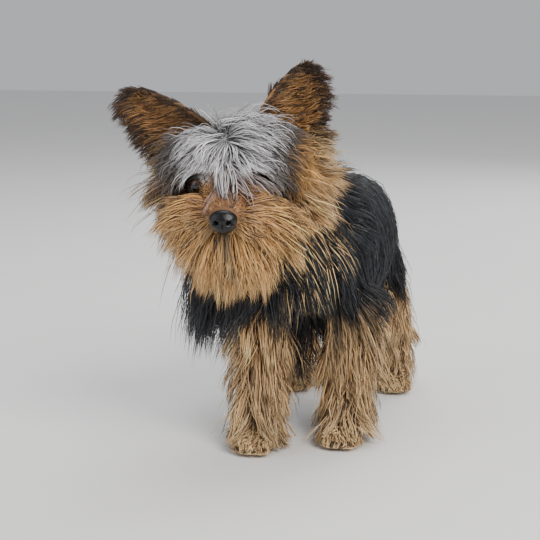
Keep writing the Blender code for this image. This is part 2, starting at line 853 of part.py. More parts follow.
def grow_tier(node, flesh, rng, form, spots, flow, lock, sink=0.004):
    """Root a lock at each (along, turn) of a form, with its sizes and way varied a little."""
    sections, ahead, pose = form
    for along, turn in spots:
        t = along + rng.uniform(-0.07, 0.07)
        root, out = on_form(sections, ahead, t, turn + rng.uniform(-3, 3), pose)
        if flesh.buried(node.name, root + out * 0.001):
            continue
        way = flow(root, out) + Vector([rng.uniform(-0.12, 0.12) for _ in range(3)])
        sized = Lock(
            lock.long * rng.uniform(0.86, 1.14),
            lock.wide * rng.uniform(0.85, 1.15),
            lock.thick * rng.uniform(0.9, 1.1),
            lock.lift * rng.uniform(0.8, 1.2),
            lock.fall * rng.uniform(0.8, 1.2),
            lock.cling,
            lock.stand,
        )
        path = lock_path(flesh, root, out, way, sized, sink)
        if fair(path, sized):
            node.locks.append((path, sized))


def row(start, stop, count, turn, shift=0.0):
    """Evenly spaced spots along a form at one turn round it."""
    step = (stop - start) / count
    return [(start + step * (k + 0.5 + shift), turn) for k in range(count)]


def round_row(along, start, stop, count):
    """Evenly spaced spots round a form at one place along it."""
    step = (stop - start) / count
    return [(along, start + step * (k + 0.5)) for k in range(count)]


def torso_coat(node, flesh):
    """The long body coat: parted along the back, in tiers down each side, and under the belly."""
    rng = random.Random(11)
    form = (TORSO, UP, None)

    def down_side(root, out):
        side = 1.0 if root.x > 0.0 else -1.0
        return Vector((side * 0.8, 0.28, -1.0))

    def hang(root, out):
        return Vector((0.0, 0.25, -1.0)) + out * 0.3

    def fore(root, out):
        return Vector((root.x * 4, -0.3, -1.0))

    def rear(root, out):
        return Vector((root.x * 6, 0.4, -1.0))

    for side, base in ((1, 0), (-1, 180)):
        top = Lock(0.056, 0.0200, 0.0032, 0.0100, 0.55, 0.5)
        grow_tier(node, flesh, rng, form, row(1.6, 8.3, 8, base + side * 84, 0.12 * side), down_side, top)
        middle = Lock(0.054, 0.0200, 0.0032, 0.0100, 0.8, 0.35)
        grow_tier(node, flesh, rng, form, row(1.8, 8.3, 8, base + side * 40, 0.3), down_side, middle)
        hem = Lock(0.060, 0.0200, 0.0032, 0.0085, 0.9, 0.1)
        grow_tier(node, flesh, rng, form, row(2.2, 8.0, 7, base - side * 2, 0.1), down_side, hem)
    belly = Lock(0.024, 0.020, 0.003, 0.004, 0.9, 0.0)
    grow_tier(node, flesh, rng, form, row(3.0, 7.0, 3, 268), hang, belly)
    breast = Lock(0.048, 0.0185, 0.0032, 0.0080, 0.9, 0.1)
    grow_tier(node, flesh, rng, form, round_row(0.8, -150, -30, 5), fore, breast)
    grow_tier(node, flesh, rng, form, round_row(1.6, -165, -15, 4), fore, breast)
    rump = Lock(0.052, 0.0185, 0.0032, 0.0085, 0.8, 0.2)
    grow_tier(node, flesh, rng, form, round_row(8.35, -45, 45, 3), rear, rump)
    grow_tier(node, flesh, rng, form, round_row(8.35, 135, 225, 3), rear, rump)


def neck_coat(node, flesh):
    """The ruff: back over the nape, down the sides, and a black bib under the throat."""
    rng = random.Random(23)
    form = (NECK, UP, None)

    def nape(root, out):
        side = 1.0 if out.x > 0 else -1.0
        return Vector((side * 0.7, 0.9, -0.6))

    def bib(root, out):
        return Vector((out.x * 0.5, -0.25, -1.0))

    for base, side in ((0, 1), (180, -1)):
        crest = Lock(0.050, 0.0185, 0.0034, 0.0110, 0.55, 0.4)
        grow_tier(node, flesh, rng, form, row(1.2, 3.6, 3, base + side * 60), nape, crest)
        flank = Lock(0.058, 0.0185, 0.0034, 0.0140, 0.8, 0.2, 0.45)
        grow_tier(node, flesh, rng, form, row(1.2, 3.6, 3, base + side * 18), nape, flank)
        throat = Lock(0.060, 0.0175, 0.0034, 0.0120, 0.9, 0.1, 0.45)
        grow_tier(node, flesh, rng, form, row(1.4, 3.4, 2, base - side * 24), bib, throat)
    front = Lock(0.066, 0.0175, 0.0034, 0.0120, 0.9, 0.10)
    grow_tier(node, flesh, rng, form, round_row(2.0, 215, 325, 3), bib, front)
    grow_tier(node, flesh, rng, form, round_row(3.0, 215, 325, 3), bib, front)


def head_coat(node, flesh):
    """The hair of the head: a fall over the brow, the crown, the cheeks, nape and moustache."""
    rng = random.Random(37)
    pose = head_pose()
    turned = pose.to_3x3()
    form = (HEAD, UP, pose)
    inverse = pose.inverted()

    def side_of(root):
        return 1.0 if (inverse @ root).x > 0 else -1.0

    def forward(root, out):
        return turned @ Vector(((inverse @ root).x * 9, -1.0, -0.15))

    def sideways(root, out):
        return turned @ Vector((side_of(root), -0.10, -0.45))

    def cheek(root, out):
        return turned @ Vector((side_of(root) * 0.55, 0.05, -1.0))

    def back(root, out):
        return turned @ Vector(((inverse @ root).x * 12, 1.0, -0.4))

    def whisker(root, out):
        return turned @ Vector((side_of(root) * 0.75, 0.10, -1.0))

    fall = Lock(0.050, 0.0105, 0.0028, 0.0080, 0.25, 0.5)
    grow_tier(node, flesh, rng, form, round_row(3.1, 66, 114, 4), forward, fall)
    brow = Lock(0.032, 0.0090, 0.0026, 0.0050, 0.25, 0.5)
    grow_tier(node, flesh, rng, form, round_row(4.2, 62, 118, 4), forward, brow)
    for base, side in ((0, 1), (180, -1)):
        crown = Lock(0.046, 0.0150, 0.0030, 0.0120, 0.45, 0.4)
        grow_tier(node, flesh, rng, form, row(2.0, 4.4, 3, base + side * 58), sideways, crown)
        temple = Lock(0.050, 0.0140, 0.0030, 0.0170, 0.7, 0.15, 0.5)
        grow_tier(node, flesh, rng, form, row(1.8, 4.8, 4, base + side * 24), cheek, temple)
        jowl = Lock(0.058, 0.0135, 0.0030, 0.0190, 0.8, 0.05, 0.6)
        grow_tier(node, flesh, rng, form, row(1.8, 5.4, 5, base - side * 6), cheek, jowl)
        under = Lock(0.056, 0.0130, 0.0030, 0.0140, 0.9, 0.05, 0.5)
        grow_tier(node, flesh, rng, form, row(2.4, 5.9, 4, base - side * 38), cheek, under)
        bristle = Lock(0.044, 0.0095, 0.0026, 0.0100, 0.7, 0.1, 0.4)
        grow_tier(node, flesh, rng, form, row(6.0, 8.5, 3, base - side * 8), whisker, bristle, 0.003)
    nape = Lock(0.044, 0.0180, 0.0032, 0.0120, 0.6, 0.35)
    grow_tier(node, flesh, rng, form, round_row(1.5, 25, 155, 4), back, nape)
    grow_tier(node, flesh, rng, form, round_row(0.9, -15, 195, 4), back, nape)


def beard(node, flesh):
    """Long pointed locks that hang from the chin and the sides of the lower jaw."""
    rng = random.Random(41)
    pose = head_pose()
    turned = pose.to_3x3()
    form = (JAW, UP, pose)

    def hang(root, out):
        return turned @ Vector(((pose.inverted() @ root).x * 22, -0.12, -1.0))

    long = Lock(0.050, 0.0115, 0.0032, 0.0080, 0.9, 0.0, 0.35)
    grow_tier(node, flesh, rng, form, round_row(1.2, 215, 325, 3), hang, long, 0.003)
    grow_tier(node, flesh, rng, form, round_row(2.2, 205, 335, 3), hang, long, 0.003)
    grow_tier(node, flesh, rng, form, round_row(3.1, 205, 335, 3), hang, long, 0.003)
    chin = Lock(0.042, 0.0105, 0.0032, 0.0030, 0.9, 0.0, 0.5)
    grow_tier(node, flesh, rng, form, round_row(3.9, 215, 325, 2), hang, chin, 0.0025)


def tail_coat(node, flesh):
    """A fringe all round the tail that falls past its tip."""
    rng = random.Random(53)
    form = (TAIL, FRONT, None)

    def along(root, out):
        return Vector((out.x * 0.3, 0.35, -1.0))

    plume = Lock(0.036, 0.0140, 0.0030, 0.0070, 0.8, 0.2)
    grow_tier(node, flesh, rng, form, round_row(1.7, 150, 390, 3), along, plume, 0.003)
    grow_tier(node, flesh, rng, form, round_row(2.8, 0, 360, 3), along, plume, 0.003)
    grow_tier(node, flesh, rng, form, round_row(3.8, 60, 420, 3), along, plume, 0.0025)


def leg_coat(node, flesh, sections, seed, hind):
    """Feathering in tiers down a leg, thrown back a little, and splayed over the foot."""
    rng = random.Random(seed)
    form = (sections, FRONT, None)

    def swept(root, out):
        return Vector((out.x * 0.35, 0.22 + out.y * 0.4, -1.0))

    def splay(root, out):
        return Vector((out.x * 0.75, out.y * 0.75, -0.8))

    feather = Lock(0.044, 0.0150, 0.0032, 0.0125, 0.7, 0.05, 0.4)
    tiers = (1.9, 3.2, 4.5) if hind else (1.7, 2.8, 3.8)
    for k, along in enumerate(tiers):
        grow_tier(node, flesh, rng, form, round_row(along, 30 * k, 360 + 30 * k, 5), swept, feather)
    cuff = Lock(0.030, 0.0130, 0.0030, 0.0110, 0.7, 0.0, 0.4)
    grow_tier(node, flesh, rng, form, round_row(tiers[-1] + 1.1, 10, 370, 5), splay, cuff, 0.003)


def ear_fringe(node, side):
    """Locks along both edges of an ear and at its tip, rooted in the thickness of the leather."""
    rng = random.Random(61 + side)
    turned = ear_pose(side).to_3x3()
    out = turned @ Vector((0, 1, 0))
    spots = [(u, edge) for edge in (-1, 1) for u in (0.22, 0.44, 0.64, 0.82)] + [(0.92, 0)]
    for u, edge in spots:
        root = ear_point(side, u, 0.72 * edge, EAR_THICK / 2)
        way = turned @ Vector((edge * 0.85, 0.25, 0.9 + rng.uniform(-0.2, 0.2)))
        long = rng.uniform(0.020, 0.026) if edge else 0.018
        path = [(root, out)]
        for step in range(1, STEPS + 1):
            done = step / STEPS
            bend = turned @ Vector((0, 0.10 * done, 0.35 * done)) + DOWN * (0.30 * done)
            path.append((path[-1][0] + (way.normalized() + bend).normalized() * (long / STEPS), out))
        node.locks.append((path, Lock(long, rng.uniform(0.0095, 0.0125), 0.0016, 0.0, 0.0)))


def loft_form(sections, sides, rings, ahead, pose=None):
    """A maker of one bare form, swollen by whatever it is asked for."""

    def make(name, home, grow):
        return loft(name, sections, sides, rings, ahead, home, pose, grow)

    return make


def main():
    """Make every node of the dog, lay its coat, and set it on its origin."""
    clear_scene()
    dog = collection("yorkshire_terrier")
    pose = head_pose()
    nodes = {
        "torso": Node("torso", loft_form(TORSO, 16, 12, UP)),
        "neck": Node("neck", loft_form(NECK, 12, 8, UP)),
        "head": Node("head", loft_form(HEAD, 18, 16, UP, pose)),
        "lower_jaw": Node("lower_jaw", loft_form(JAW, 10, 8, UP, pose)),
        "tail": Node("tail", loft_form(TAIL, 8, 7, FRONT)),
        "nose": Node("nose", lambda name, home, grow: nose_pieces(home, grow)),
    }
    legs = {}
    for where, side in (("left", 1), ("right", -1)):
        legs["foreleg_" + where] = (foreleg(side, PAW_AT["forepaw_" + where]), "forepaw_" + where)
        legs["hindleg_" + where] = (hindleg(side, PAW_AT["hindpaw_" + where]), "hindpaw_" + where)
        nodes["ear_" + where] = Node("ear_" + where, ear_form(side, nodes["head"].form))
        eye = Vector((side * EYE_AT.x, EYE_AT.y, EYE_AT.z))
        nodes["eye_" + where] = Node(
            "eye_" + where,
            lambda name, home, grow, eye=eye: ball(name, eye, (EYE_RADIUS + grow,) * 3, home, pose, 6, 11),
        )
    for name, (sections, _) in legs.items():
        nodes[name] = Node(name, loft_form(sections, 10, 11, FRONT))
    fleshy = ["torso", "neck", "head", "lower_jaw", "tail"] + list(legs)
    bare = collection("bare")
    flesh = Flesh([nodes[name].form(name, bare, 0.0) for name in fleshy])
    clear_collection(bare)
    torso_coat(nodes["torso"], flesh)
    neck_coat(nodes["neck"], flesh)
    head_coat(nodes["head"], flesh)
    beard(nodes["lower_jaw"], flesh)
    tail_coat(nodes["tail"], flesh)
    for k, (name, (sections, _)) in enumerate(legs.items()):
        leg_coat(nodes[name], flesh, sections, 81 + k, name.startswith("hind"))
    for where, side in (("left", 1), ("right", -1)):
        ear_fringe(nodes["ear_" + where], side)
        nodes["head"].extra.append(lambda home, grow=0.0, side=side: lid(side, home, grow))
    nodes["head"].extra.append(lip)
    build_all(nodes, legs, dog)
    dress(dog)
    settle(dog)


def build_all(nodes, legs, dog):
    """Build each node and cut it clear of those that lie over it or that it grows from."""
    eyes = [nodes["eye_left"], nodes["eye_right"]]
    ears = [nodes["ear_left"], nodes["ear_right"]]
    for eye in eyes:
        eye.build(dog)
    pierce_nose(nodes["nose"].build(dog))
    for ear in ears:
        ear.build(dog)
    over = eyes + [nodes["nose"]] + ears
    cut_clear(nodes["head"].build(dog), over)
    over.append(nodes["head"])
    cut_clear(nodes["lower_jaw"].build(dog), over)
    over.append(nodes["lower_jaw"])
    cut_clear(nodes["neck"].build(dog), over, [(nodes["torso"].form, CORE_GAP)])
    over.append(nodes["neck"])
    cut_clear(nodes["torso"].build(dog), over)
    over.append(nodes["torso"])
    cut_clear(nodes["tail"].build(dog), over)
    over.append(nodes["tail"])
    for name, (_, foot) in legs.items():
        pads = Node(foot, lambda n, home, grow, foot=foot: paw(n, PAW_AT[foot] - UP * SOLE_CUT, home, grow))
        pads.build(dog)
        claws = []
        for toe in range(4):
            label = "%s_%d" % (foot.replace("paw", "claw"), toe + 1)
            horn = Node(label, lambda n, home, grow, foot=foot, toe=toe: claw(n, PAW_AT[foot], toe, home, grow))
            cut_clear(horn.build(dog), [pads])
            claws.append(horn)
        cut_clear(nodes[name].build(dog), over + [pads] + claws)
        over.append(nodes[name])


def dress(dog):
    """Give each node its finish."""
    shades = {
        "torso": "black_coat",
        "neck": "black_coat",
        "tail": "black_coat",
        "head": "silver_coat",
        "lower_jaw": "gold_coat",
        "nose": "nose_leather",
    }
    for thing in dog.objects:
        shade = shades.get(thing.name, "tan_coat")
        if thing.name.startswith("ear"):
            shade = "ear_coat"
        elif thing.name.startswith("eye"):
            shade = "eye_glass"
        elif "claw" in thing.name:
            shade = "claw_horn"
        thing.data.materials.clear()
        thing.data.materials.append(finish(shade))


def settle(dog):
    """Move the whole dog so that the origin is the middle of the bottom of its box."""
    corners = [vert.co for thing in dog.objects for vert in thing.data.vertices]
    low = [min(c[i] for c in corners) for i in range(3)]
    high = [max(c[i] for c in corners) for i in range(3)]
    shift = Vector((-(low[0] + high[0]) / 2, -(low[1] + high[1]) / 2, -low[2]))
    for thing in dog.objects:
        for vert in thing.data.vertices:
            vert.co += shift


if __name__ == "__main__":
    main()
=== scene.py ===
"""The looks of a yorkshire terrier, standing life size with its head carried to its right.

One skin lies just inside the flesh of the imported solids, and a coat of tapered
strands lies over it. Everything is laid out in the dog's own frame, where +X is
its left side and -Y its front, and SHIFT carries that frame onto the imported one.
"""

import logging
import math
from collections.abc import Sequence
from dataclasses import dataclass
from enum import Enum
from functools import cache

import bpy
import numpy as np
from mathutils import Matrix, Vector
from mathutils.bvhtree import BVHTree


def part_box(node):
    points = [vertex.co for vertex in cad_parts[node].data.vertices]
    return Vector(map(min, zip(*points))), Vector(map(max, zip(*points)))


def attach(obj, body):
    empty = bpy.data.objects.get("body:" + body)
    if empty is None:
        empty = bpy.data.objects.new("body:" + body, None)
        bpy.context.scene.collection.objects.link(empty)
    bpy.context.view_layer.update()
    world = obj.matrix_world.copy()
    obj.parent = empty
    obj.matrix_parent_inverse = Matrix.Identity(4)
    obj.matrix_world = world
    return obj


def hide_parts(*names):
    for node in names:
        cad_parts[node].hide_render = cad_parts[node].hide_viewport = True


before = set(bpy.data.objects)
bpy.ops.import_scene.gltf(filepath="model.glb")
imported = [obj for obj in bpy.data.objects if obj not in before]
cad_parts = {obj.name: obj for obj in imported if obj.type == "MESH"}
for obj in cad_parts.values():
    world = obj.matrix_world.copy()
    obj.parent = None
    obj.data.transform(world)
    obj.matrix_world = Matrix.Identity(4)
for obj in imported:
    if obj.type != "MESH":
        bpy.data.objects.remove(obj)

Array = np.ndarray
LOG = logging.getLogger("yorkshire_terrier")

# The head: middle of the skull, and its turn to the dog's left and tip down in degrees
HEAD_AT = (-0.039, -0.121, 0.210)
HEAD_TURN = 8.0
HEAD_TIP = 12.0

# Face sizes in the head's own frame, where the face looks along -Y, and how low its mouth lies
EYE_AT = (0.0205, -0.0265, 0.0025)
EYE_RADIUS = 0.0085
NOSE_AT = (0.0, -0.0625, -0.0112)
NOSE_SIZE = (0.0091, 0.0070, 0.0090)
MOUTH_LOW = 0.0185

# How far right of the middle the hair of the head parts
PARTING = 0.006

# The ears: height, half width, thickness and hollow of the leather, and its depth in the skull
EAR_HIGH = 0.067
EAR_WIDE = 0.0265
EAR_THICK = 0.0026
EAR_CUP = 0.0085
EAR_SUNK = 0.006

# The soles: middle of each paw on the floor, and the size of a foot
FORE_LEFT = (0.029, -0.066)
FORE_RIGHT = (-0.031, -0.096)
HIND_LEFT = (0.044, 0.096)
HIND_RIGHT = (-0.043, 0.082)
PAW_LONG = 0.034
PAW_WIDE = 0.026
PAW_HIGH = 0.019

# How far the skin lies inside the flesh of the solids, and the voxels of skin and flesh
SKIN_INSET = -0.0006
SKIN_CELL = 0.0015
FLESH_CELL = 0.003

# Ways in the dog's frame
UP = (0, 0, 1)
FRONT = (0, -1, 0)
DOWN = (0, 0, -1)

# The lowest that the path of a hair and the strand round it come to the floor
FLOOR_CLEAR = 0.0012
STRAND_CLEAR = 0.0004

# The camera: degrees to the dog's left and up, distance, what it looks at, and its lens in mm
CAMERA_TURN = 14.4
CAMERA_RISE = 10.4
CAMERA_FAR = 1.0
CAMERA_AIM = (-0.037, -0.030, 0.126)
CAMERA_LENS = 84.4


def unit(vectors: Array) -> Array:
    """Vectors of length one along the last axis."""
    return vectors / np.maximum(np.linalg.norm(vectors, axis=-1, keepdims=True), 1e-9)


def ways(*parts: Array | float) -> Array:
    """Vectors from their parts along x, y and z, each an array or one number for all."""
    return np.stack(np.broadcast_arrays(*parts), axis=-1)


def smooth(low: float, high: float, values: Array) -> Array:
    """0 below low, 1 above high and a smooth step between; low may be the larger."""
    t = np.clip((values - low) / (high - low), 0.0, 1.0)
    return t * t * (3 - 2 * t)


def turned(axis: str, degrees: float) -> Array:
    """A 4x4 turn about one axis."""
    c, s = math.cos(math.radians(degrees)), math.sin(math.radians(degrees))
    i, j = {"X": (1, 2), "Y": (2, 0), "Z": (0, 1)}[axis]
    made = np.eye(4)
    made[i, i], made[i, j], made[j, i], made[j, j] = c, -s, s, c
    return made


def moved(by: tuple) -> Array:
    """A 4x4 shift."""
    made = np.eye(4)
    made[:3, 3] = by
    return made


def placed(pose: Array, points: Array) -> Array:
    """Points carried by a 4x4 pose."""
    return points @ pose[:3, :3].T + pose[:3, 3]


HEAD_POSE = moved(HEAD_AT) @ turned("Z", HEAD_TURN) @ turned("X", HEAD_TIP)
HEAD_BACK = np.linalg.inv(HEAD_POSE)
EYE_LOW, EYE_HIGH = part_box("eye_left")
SHIFT = np.array((EYE_LOW + EYE_HIGH) / 2) - placed(HEAD_POSE, np.array(EYE_AT))


def from_head(directions: Array) -> Array:
    """Directions of the head's frame as seen in the dog's."""
    return directions @ HEAD_POSE[:3, :3].T


def eye_middle(side: int) -> Array:
    """The middle of the left eye for 1, or the right for -1, in the head's frame."""
    return np.array(EYE_AT) * (side, 1, 1)


def eye_gap(points: Array) -> Array:
    """How far places in the head's frame lie from the middle of the nearer eye."""
    return np.linalg.norm(points * ways(np.sign(points[..., 0]), 1, 1) - np.array(EYE_AT), axis=-1)


def between(values: Array, t: Array) -> Array:
    """A smooth curve through rows of values at 0, 1, 2 and so on, read at each t (Catmull-Rom).

    Args:
        values: The rows.
        t: Where to read.

    Returns:
        A row for each t.
    """
    last = len(values) - 1
    i = np.minimum(t.astype(int), last - 1)
    u = (t - i)[..., None]
    a, b = values[np.maximum(i - 1, 0)], values[i]
    c, d = values[i + 1], values[np.minimum(i + 2, last)]
    return b + 0.5 * u * (c - a + u * (2 * a - 5 * b + 4 * c - d + u * (3 * (b - c) + d - a)))


@dataclass(frozen=True)
class Patch:
    """A rectangle of the coat's unwrap that belongs to one form."""

    left: float
    low: float
    wide: float
    high: float

    def spots(self, u: Array, v: Array) -> Array:
        """Places in the rectangle for u and v from 0 to 1."""
        return np.stack([self.left + u * self.wide, self.low + v * self.high], axis=-1)


@dataclass(frozen=True)
class Loft:
    """A form through egg shaped sections: rows of middle x, y, z, half width, reach up and down."""

    rows: tuple
    ahead: tuple
    patch: Patch
    pose: Array | None = None

    def surface(self, t: Array, turn: Array, grow: float = 0.0) -> Array:
        """Points of the form.

        At t the curve through the middles gives the path; side is path x ahead and up is
        side x path. The point is middle + side * wide * cos(turn) + up * reach * sin(turn).

        Args:
            t: Place along the sections, from 0 to their number less one.
            turn: Angle round the path in radians.
            grow: What is added to every radius.

        Returns:
            Points with the shape of t and a last axis of three.
        """
        rows = np.array(self.rows, float)
        last = len(rows) - 1
        here = between(rows, t)
        ahead, behind = np.minimum(t + 0.05, last), np.maximum(t - 0.05, 0)
        path = unit(between(rows[:, :3], ahead) - between(rows[:, :3], behind))
        side = unit(np.cross(path, np.array(self.ahead, float)))
        up = np.cross(side, path)
        radii = np.maximum(here[..., 3:], 0.0006) + grow
        reach = np.where(np.sin(turn) > 0, radii[..., 1], radii[..., 2])
        points = here[..., :3] + side * (radii[..., 0] * np.cos(turn))[..., None]
        points = points + up * (reach * np.sin(turn))[..., None]
        return points if self.pose is None else placed(self.pose, points)

    def shell(self, rings: int, sides: int, grow: float) -> tuple[Array, Array]:
        """A closed mesh of the form, as points and triangles."""
        last = len(self.rows) - 1
        t = np.linspace(0.04, last - 0.04, rings)[:, None] + np.zeros(sides)
        turn = np.linspace(0, 2 * np.pi, sides, endpoint=False) + np.zeros((rings, 1))
        return closed_tube(self.surface(t, turn, grow))

    def scatter(self, rng: np.random.Generator, count: int, start: float, stop: float) -> tuple:
        """Random points spread evenly over the area between two places along the form.

        Args:
            rng: The source of chance.
            count: How many points.
            start: First place along the sections.
            stop: Last place along the sections.

        Returns:
            The points, and their places on the unwrap.
        """
        rings, sides = 80, 64
        t = np.linspace(start, stop, rings + 1)[:, None] + np.zeros(sides + 1)
        turn = np.linspace(0, 2 * np.pi, sides + 1) + np.zeros((rings + 1, 1))
        net = self.surface(t, turn)
        one, two = net[1:, :-1] - net[:-1, :-1], net[:-1, 1:] - net[:-1, :-1]
        area = np.linalg.norm(np.cross(one, two), axis=-1).ravel()
        cell = rng.choice(area.size, size=count, p=area / area.sum())
        at = start + (cell // sides + rng.random(count)) / rings * (stop - start)
        round_at = (cell % sides + rng.random(count)) / sides
        points = self.surface(at, round_at * 2 * np.pi)
        return points, self.patch.spots(at / (len(self.rows) - 1), round_at)


def closed_tube(net: Array) -> tuple[Array, Array]:
    """Close a net of rings into a mesh.

    Args:
        net: Points of shape rings, sides, 3, where each ring closes on itself.

    Returns:
        The points with the middle of both ends added, and triangles.
    """
    rings, sides = net.shape[:2]
    points = np.concatenate([net.reshape(-1, 3), net[:1].mean(axis=1), net[-1:].mean(axis=1)])
    i, j = np.meshgrid(np.arange(rings - 1), np.arange(sides), indexing="ij")
    m = (j + 1) % sides
    a, b, c, d = i * sides + j, (i + 1) * sides + j, (i + 1) * sides + m, i * sides + m
    faces = [np.stack([a, b, c], -1).reshape(-1, 3), np.stack([a, c, d], -1).reshape(-1, 3)]
    k = np.arange(sides)
    n = (k + 1) % sides
    first, final = rings * sides, rings * sides + 1
    faces.append(np.stack([first + 0 * k, k, n], -1))
    top = (rings - 1) * sides
    faces.append(np.stack([top + k, final + 0 * k, top + n], -1))
    return points, np.concatenate(faces)


TORSO = Loft(
    (
        (-0.004, -0.090, 0.138, 0.000, 0.000, 0.000),
        (-0.004, -0.080, 0.138, 0.024, 0.026, 0.026),
        (-0.003, -0.062, 0.140, 0.035, 0.044, 0.044),
        (-0.002, -0.035, 0.143, 0.041, 0.058, 0.054),
        (0.000, 0.000, 0.144, 0.043, 0.056, 0.053),
        (0.001, 0.035, 0.146, 0.042, 0.050, 0.049),
        (0.001, 0.065, 0.148, 0.041, 0.046, 0.044),
        (0.001, 0.090, 0.148, 0.033, 0.037, 0.036),
        (0.001, 0.105, 0.149, 0.018, 0.020, 0.022),
        (0.001, 0.111, 0.150, 0.000, 0.000, 0.000),
    ),
    UP,
    Patch(0.01, 0.01, 0.38, 0.48),
)
NECK = Loft(
    (
        (-0.002, -0.030, 0.158, 0.000, 0.000, 0.000),
        (-0.005, -0.042, 0.164, 0.028, 0.027, 0.030),
        (-0.014, -0.066, 0.177, 0.031, 0.029, 0.033),
        (-0.026, -0.090, 0.191, 0.028, 0.026, 0.029),
        (-0.035, -0.108, 0.201, 0.022, 0.020, 0.022),
        (-0.038, -0.115, 0.205, 0.000, 0.000, 0.000),
    ),
    UP,
    Patch(0.41, 0.01, 0.18, 0.28),
)
HEAD = Loft(
    (
        (0.0, 0.037, 0.000, 0.000, 0.000, 0.000),
        (0.0, 0.031, 0.000, 0.018, 0.017, 0.016),
        (0.0, 0.018, 0.000, 0.029, 0.028, 0.026),
        (0.0, 0.002, 0.000, 0.034, 0.033, 0.029),
        (0.0, -0.014, 0.000, 0.033, 0.030, 0.030),
        (0.0, -0.027, -0.002, 0.028, 0.022, 0.024),
        (0.0, -0.036, -0.006, 0.019, 0.0125, 0.015),
        (0.0, -0.048, -0.0085, 0.0145, 0.0095, 0.0105),
        (0.0, -0.058, -0.0095, 0.0125, 0.0090, 0.0085),
        (0.0, -0.0630, -0.0095, 0.0085, 0.0060, 0.0060),
        (0.0, -0.0655, -0.0095, 0.000, 0.000, 0.000),
    ),
    UP,
    Patch(0.61, 0.01, 0.38, 0.38),
    HEAD_POSE,
)
JAW = Loft(
    (
        (0.0, -0.012, -0.0250, 0.000, 0.000, 0.000),
        (0.0, -0.020, -0.0250, 0.0140, 0.0085, 0.0075),
        (0.0, -0.034, -0.0240, 0.0125, 0.0085, 0.0070),
        (0.0, -0.047, -0.0225, 0.0105, 0.0060, 0.0065),
        (0.0, -0.0545, -0.0215, 0.0070, 0.0045, 0.0050),
        (0.0, -0.0590, -0.0205, 0.000, 0.000, 0.000),
    ),
    UP,
    Patch(0.41, 0.31, 0.18, 0.13),
    HEAD_POSE,
)
TAIL = Loft(
    (
        (0.001, 0.096, 0.168, 0.0000, 0.0000, 0.0000),
        (0.001, 0.103, 0.167, 0.0085, 0.0085, 0.0085),
        (0.000, 0.116, 0.160, 0.0080, 0.0080, 0.0080),
        (-0.001, 0.126, 0.146, 0.0068, 0.0068, 0.0068),
        (-0.002, 0.131, 0.128, 0.0050, 0.0050, 0.0050),
        (-0.003, 0.133, 0.110, 0.0000, 0.0000, 0.0000),
    ),
    FRONT,
    Patch(0.61, 0.41, 0.16, 0.08),
)


def foreleg(side: int, foot: tuple, patch: Patch) -> Loft:
    """A foreleg from inside the chest to the top of its paw.

    Args:
        side: 1 for the left, -1 for the right.
        foot: Middle of its sole on the floor.
        patch: Its rectangle of the unwrap.

    Returns:
        The form.
    """
    x, y = foot
    return Loft(
        (
            (side * 0.026, -0.056, 0.132, 0.000, 0.000, 0.000),
            (side * 0.028, -0.057, 0.124, 0.0125, 0.018, 0.018),
            (side * 0.031, 0.4 * y - 0.032, 0.104, 0.0125, 0.017, 0.018),
            (side * 0.032, 0.6 * y - 0.018, 0.082, 0.0115, 0.0125, 0.0135),
            (x, 0.9 * y + 0.004, 0.050, 0.0095, 0.0095, 0.0100),
            (x, y + 0.009, 0.028, 0.0092, 0.0092, 0.0092),
            (x, y + 0.006, 0.014, 0.0095, 0.0095, 0.0090),
            (x, y + 0.005, 0.007, 0.000, 0.000, 0.000),
        ),
        FRONT,
        patch,
    )


def hindleg(side: int, foot: tuple, patch: Patch) -> Loft:
    """A hind leg: thigh, knee, hock and the straight foot below it.

    Args:
        side: 1 for the left, -1 for the right.
        foot: Middle of its sole on the floor.
        patch: Its rectangle of the unwrap.

    Returns:
        The form.
    """
    x, y = foot
    return Loft(
        (
            (side * 0.024, 0.062, 0.152, 0.000, 0.000, 0.000),
            (side * 0.026, 0.062, 0.145, 0.0150, 0.024, 0.024),
            (side * 0.031, 0.060, 0.120, 0.0155, 0.027, 0.026),
            (side * 0.036, 0.45 * y + 0.020, 0.094, 0.0140, 0.019, 0.022),
            (side * 0.040, y - 0.012, 0.068, 0.0105, 0.0115, 0.0125),
            (x, y + 0.011, 0.046, 0.0088, 0.0088, 0.0092),
            (x, y + 0.009, 0.026, 0.0082, 0.0082, 0.0082),
            (x, y + 0.006, 0.014, 0.0090, 0.0090, 0.0085),
            (x, y + 0.005, 0.007, 0.000, 0.000, 0.000),
        ),
        FRONT,
        patch,
    )


@dataclass(frozen=True)
class Foot:
    """One foot on the floor: its name, side, middle, leg and patch of the unwrap."""

    name: str
    side: int
    at: tuple
    leg: Loft
    patch: Patch

    @property
    def hind(self) -> bool:
        """Whether it is a hind foot."""
        return self.name.startswith("hind")

    @property
    def paw(self) -> str:
        """The name of its paw."""
        return self.name.replace("leg", "paw")

    def balls(self) -> list[tuple[Array, Array]]:
        """The middle and radii of the pad and of each toe."""
        x, y = self.at
        pad = (x, y + 0.003, PAW_HIGH * 0.46 - 0.0016)
        made = [(pad, (PAW_WIDE * 0.45, PAW_LONG * 0.40, PAW_HIGH * 0.50))]
        for toe in range(4):
            spread = (toe - 1.5) / 1.5
            ahead = -PAW_LONG * (0.30 - 0.075 * spread * spread)
            spot = (x + PAW_WIDE * 0.335 * spread, y + ahead, PAW_HIGH * 0.34 - 0.0008)
            made.append((spot, (0.0050, 0.0082, 0.0064)))
        return [(np.array(at), np.array(radii)) for at, radii in made]


